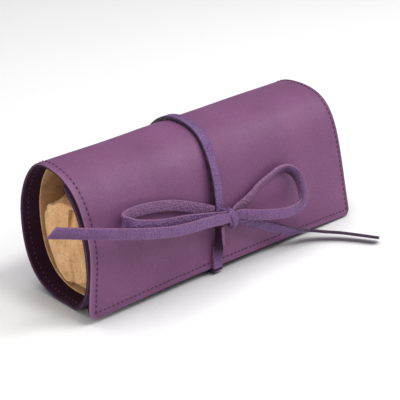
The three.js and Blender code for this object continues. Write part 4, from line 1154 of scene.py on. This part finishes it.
def swell(obj, zip_y):
    """Runs the cloth, then keeps each point near its start, and hardly out towards the lining."""
    start = np.array([v.co for v in obj.data.vertices])
    normals = np.array([v.normal for v in obj.data.vertices])
    flat = (np.abs(start[:, 1] - zip_y) < ZIP_HALF) & (start[:, 2] > start[:, 2].max() - ZIP_DEEP)
    pinned = obj.vertex_groups.new(name="zip_strip")
    pinned.add([int(i) for i in np.flatnonzero(flat)], 1.0, "REPLACE")
    cloth = obj.modifiers.new("cloth", "CLOTH")
    settings = cloth.settings
    settings.quality = 6
    settings.mass = 0.2
    settings.use_pressure = True
    settings.uniform_pressure_force = 3.0
    settings.shrink_min = SPARE_CLOTH
    settings.vertex_group_mass = "zip_strip"
    settings.effector_weights.gravity = 0
    for f in range(1, SWELL_FRAMES + 1):
        bpy.context.scene.frame_set(f)
    evaluated = obj.evaluated_get(bpy.context.evaluated_depsgraph_get())
    moved = np.array([v.co for v in evaluated.data.vertices]) - start
    obj.modifiers.remove(cloth)
    bpy.context.scene.frame_set(1)
    out = np.sum(moved * normals, axis=1)
    moved += normals * (np.clip(out, SWELL_IN, SWELL_OUT) - out)[:, None]
    size = np.linalg.norm(moved, axis=1)
    moved *= np.minimum(1, SWELL_REACH / np.maximum(size, 1e-9))[:, None]
    obj.data.vertices.foreach_set("co", (start + moved).ravel())
    obj.data.update()
    print(obj.name, "moved by up to", round(min(size.max(), SWELL_REACH) / MM, 1), "mm")


# %% Pouches: make them
FRONT_INSIDE, BACK_INSIDE = (0.02, 2.3), (2.7, 4.5)

for side, walls in (("front", (FRONT_INSIDE, BACK_INSIDE)), ("back", (BACK_INSIDE, FRONT_INSIDE))):
    rings = pouch_rings(f"{side}_pouch", walls, side == "front")
    pouch = loft(f"{side}_suede_pouch", rings, POUCH_SUEDE, 180)
    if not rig.quick():
        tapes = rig.box(f"{side}_zip_tape_left"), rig.box(f"{side}_zip_tape_right")
        swell(pouch, (tapes[0][0][1] + tapes[1][1][1]) / 2)
    smooth = pouch.modifiers.new("smooth", "SUBSURF")
    smooth.levels = smooth.render_levels = 1
    pouch.data = modified(pouch)
    pouch.modifiers.remove(smooth)
    pouch.vertex_groups.clear()
    hand_over(pouch, f"{side}_wall", "suede_pouch", f"{side}_pouch")
    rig.padded(pouch, fill=0.55)
    tell(pouch)

# %% [markdown]
# ## The ring bar
# A padded suede bar hangs under the crest, for rings to slide on. It is a turned sausage with drawn-in ends,
# and a sewn seam runs along its top.

# %% Ring bar
BAR_LOW, BAR_HIGH = (np.array(corner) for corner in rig.box("ring_bar"))
BAR_STATIONS, BAR_SIDES = 70, 28
BAR_SQUARE, BAR_END = 14, 0.2
TUCK_DEPTH, TUCK_WIDTH = 0.05, 0.25
PUCKER_HEIGHT = 0.012

bar_middle = (BAR_LOW + BAR_HIGH) / 2
angles = np.arange(BAR_SIDES) / BAR_SIDES * 2 * math.pi
from_seam = np.minimum(angles, 2 * math.pi - angles)
tuck = 1 - TUCK_DEPTH * np.exp(-((from_seam / TUCK_WIDTH) ** 2))
bar_rings = []
for at in np.linspace(-1, 1, BAR_STATIONS):
    full = (1 - abs(at) ** BAR_SQUARE) ** 0.5
    pucker = 1 + PUCKER_HEIGHT * np.sin(angles * 9 + at * 40) * abs(at) ** 6
    radius = (BAR_HIGH[2] - BAR_LOW[2]) / 2 * between(BAR_END, 1, full) * tuck * pucker
    bar_rings.append(xyz(at * BAR_HIGH[0], bar_middle[1] + radius * np.sin(angles),
                         bar_middle[2] + radius * np.cos(angles)))
ring_bar = loft("ring_bar_pad", np.array(bar_rings), POUCH_SUEDE, 60)
hand_over(ring_bar, "ring_bar", "suede_pouch", "ring_bar")
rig.padded(ring_bar, fill=0.95)
tell(ring_bar)

# %% [markdown]
# ## Zips, tabs and snap
# These rigid pieces have the right shapes already, so each keeps its solid. The small brass parts and the
# leather tabs get softly rounded edges, because light on a rounded edge is what makes metal look like metal.

# %% Metal and tape finishes
def brass_finish():
    finish = Finish("warm_brass", 0.3, metallic=1.0)
    wear = finish.noise(420, 4)
    finish.set("Base Color", finish.ramp(wear, "b8924a", "d9b873"))
    finish.set("Roughness", finish.spread(wear, 0.22, 0.4))
    finish.bump(finish.noise(1600, 2), 0.06, 0.0002)
    return finish.material


def tape_finish():
    finish = Finish("zip_tape_weave", 0.9)
    place = finish.node("ShaderNodeTexCoord").outputs["Object"]
    wave = finish.node("ShaderNodeTexWave", bands_direction="DIAGONAL", Scale=700, Distortion=1.5,
                       Vector=place)
    weave = wave.outputs["Fac"]
    finish.set("Base Color", finish.ramp(weave, "8f6c44", "b08a5a", 0.2, 0.8))
    finish.bump(weave, 0.4, 0.0003)
    return finish.material


BRASS = brass_finish()
TAPE = tape_finish()

# %% Rounded copies of the rigid pieces
def coat(mesh, material):
    mesh.materials.clear()
    mesh.materials.append(material)


def softened(node, body, width, material, slot):
    """A copy of a solid with its edges rounded, which stands for it."""
    solid = bmesh.new()
    solid.from_mesh(frame["nodes"][node].data)
    bmesh.ops.remove_doubles(solid, verts=solid.verts, dist=1e-6)
    bmesh.ops.dissolve_limit(solid, angle_limit=0.02, verts=solid.verts, edges=solid.edges)
    mesh = bpy.data.meshes.new(node + "_rounded")
    solid.to_mesh(mesh)
    solid.free()
    obj = shown(node + "_rounded", mesh)
    rounding = obj.modifiers.new("rounding", "BEVEL")
    rounding.width = width
    rounding.segments = 2
    rounding.limit_method = "ANGLE"
    rounding.angle_limit = math.radians(35)
    obj.data = modified(obj)
    obj.modifiers.remove(rounding)
    coat(obj.data, material)
    obj.data.shade_smooth()
    obj.data.set_sharp_from_angle(angle=math.radians(40))
    hand_over(obj, body, slot, node)
    tell(obj)


for side in ("front", "back"):
    softened(f"{side}_zip_slider", f"{side}_zip_slider", 0.00035, BRASS, "brass")
    softened(f"{side}_zip_pull", f"{side}_zip_pull", 0.0003, BRASS, "brass")
    softened(f"{side}_zip_stop", f"{side}_wall", 0.0003, BRASS, "brass")
    for row in ("left", "right"):
        coat(frame["nodes"][f"{side}_zip_teeth_{row}"].data, BRASS)
        coat(frame["nodes"][f"{side}_zip_tape_{row}"].data, TAPE)
softened("ring_bar_hinge_tab", "top_panel", 0.0004, LEATHER, "leather")
softened("ring_bar_snap_tab", "ring_bar", 0.0004, LEATHER, "leather")
softened("snap_stud", "top_panel", 0.0002, BRASS, "brass")
softened("snap_cap", "ring_bar", 0.0002, BRASS, "brass")

# %% [markdown]
# ## Floor and light
# A white table, three large soft lamps and a small one. The main lamp stands to the front right, where its
# reflection in the satin hide draws the bright band along the upper flap. One hangs above and behind, and a
# weak one on the left looks into the open end. The small one is high in front, and draws the shadows under
# the bow. An ambient occlusion node darkens the table's colour close under the roll, as a painted contact shadow.

# %% Floor
def floor_finish():
    finish = Finish("white_table", 0.9, gloss=0.0)
    # Painted shade: the table's colour darkens where the roll occludes it.
    painted_contact_shadow = finish.node("ShaderNodeAmbientOcclusion", Distance=0.06, samples=8)
    shade = finish.ramp(painted_contact_shadow.outputs["AO"], (0.54, 0.54, 0.54, 1), (1, 1, 1, 1), 0.25, 0.86)
    finish.set("Base Color", shade)
    return finish.material


bpy.ops.mesh.primitive_plane_add(size=12, location=(0, 0, -0.0002))
floor = bpy.context.object
floor.name = "table"
floor.data.materials.append(floor_finish())
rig.stage(floor)
print("floor:", floor.name)

# %% Light
for name, place, target, size, power in (
    ("main_softbox", (0.69, -0.48, 0.8), (0, 0, 0.05), 0.75, 6.2),
    ("top_softbox", (-0.05, 0.3, 1.2), (0, 0, 0.03), 0.8, 4.4),
    ("high_key", (0.1, -0.42, 1.05), (0, 0, 0.04), 0.26, 3.1),
    ("mouth_fill", (-0.9, 0.05, 0.24), (-0.08, 0, 0.04), 0.4, 2.3),
):
    lamp = shown(name, bpy.data.lights.new(name, "AREA"))
    lamp.data.shape = "DISK"
    lamp.data.size = size
    lamp.data.energy = power
    point_at(lamp, place, target)

world = bpy.data.worlds.new("studio")
world.use_nodes = True
bpy.context.scene.world = world
nodes, links = world.node_tree.nodes, world.node_tree.links
path, chosen = nodes.new("ShaderNodeLightPath"), nodes.new("ShaderNodeMixShader")
for socket, sky, strength in (
    (1, nodes["Background"], 0.29),
    (2, nodes.new("ShaderNodeBackground"), 1.0),
):
    sky.inputs["Color"].default_value = (1, 1, 1, 1)
    sky.inputs["Strength"].default_value = strength
    links.new(sky.outputs[0], chosen.inputs[socket])
links.new(path.outputs["Is Camera Ray"], chosen.inputs["Fac"])
links.new(chosen.outputs[0], nodes["World Output"].inputs["Surface"])
bpy.context.scene.view_settings.view_transform = "Standard"
print("lamps:", [o.name for o in bpy.data.objects if o.type == "LIGHT"])

# %% Finish
with open("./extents.json", "w") as note:
    boxes = {"cad": CAD_BOX, "visual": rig.bounds()}
    json.dump({key: [[float(v) for v in corner] for corner in box] for key, box in boxes.items()}, note)
print("pieces:", len(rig.pieces()))
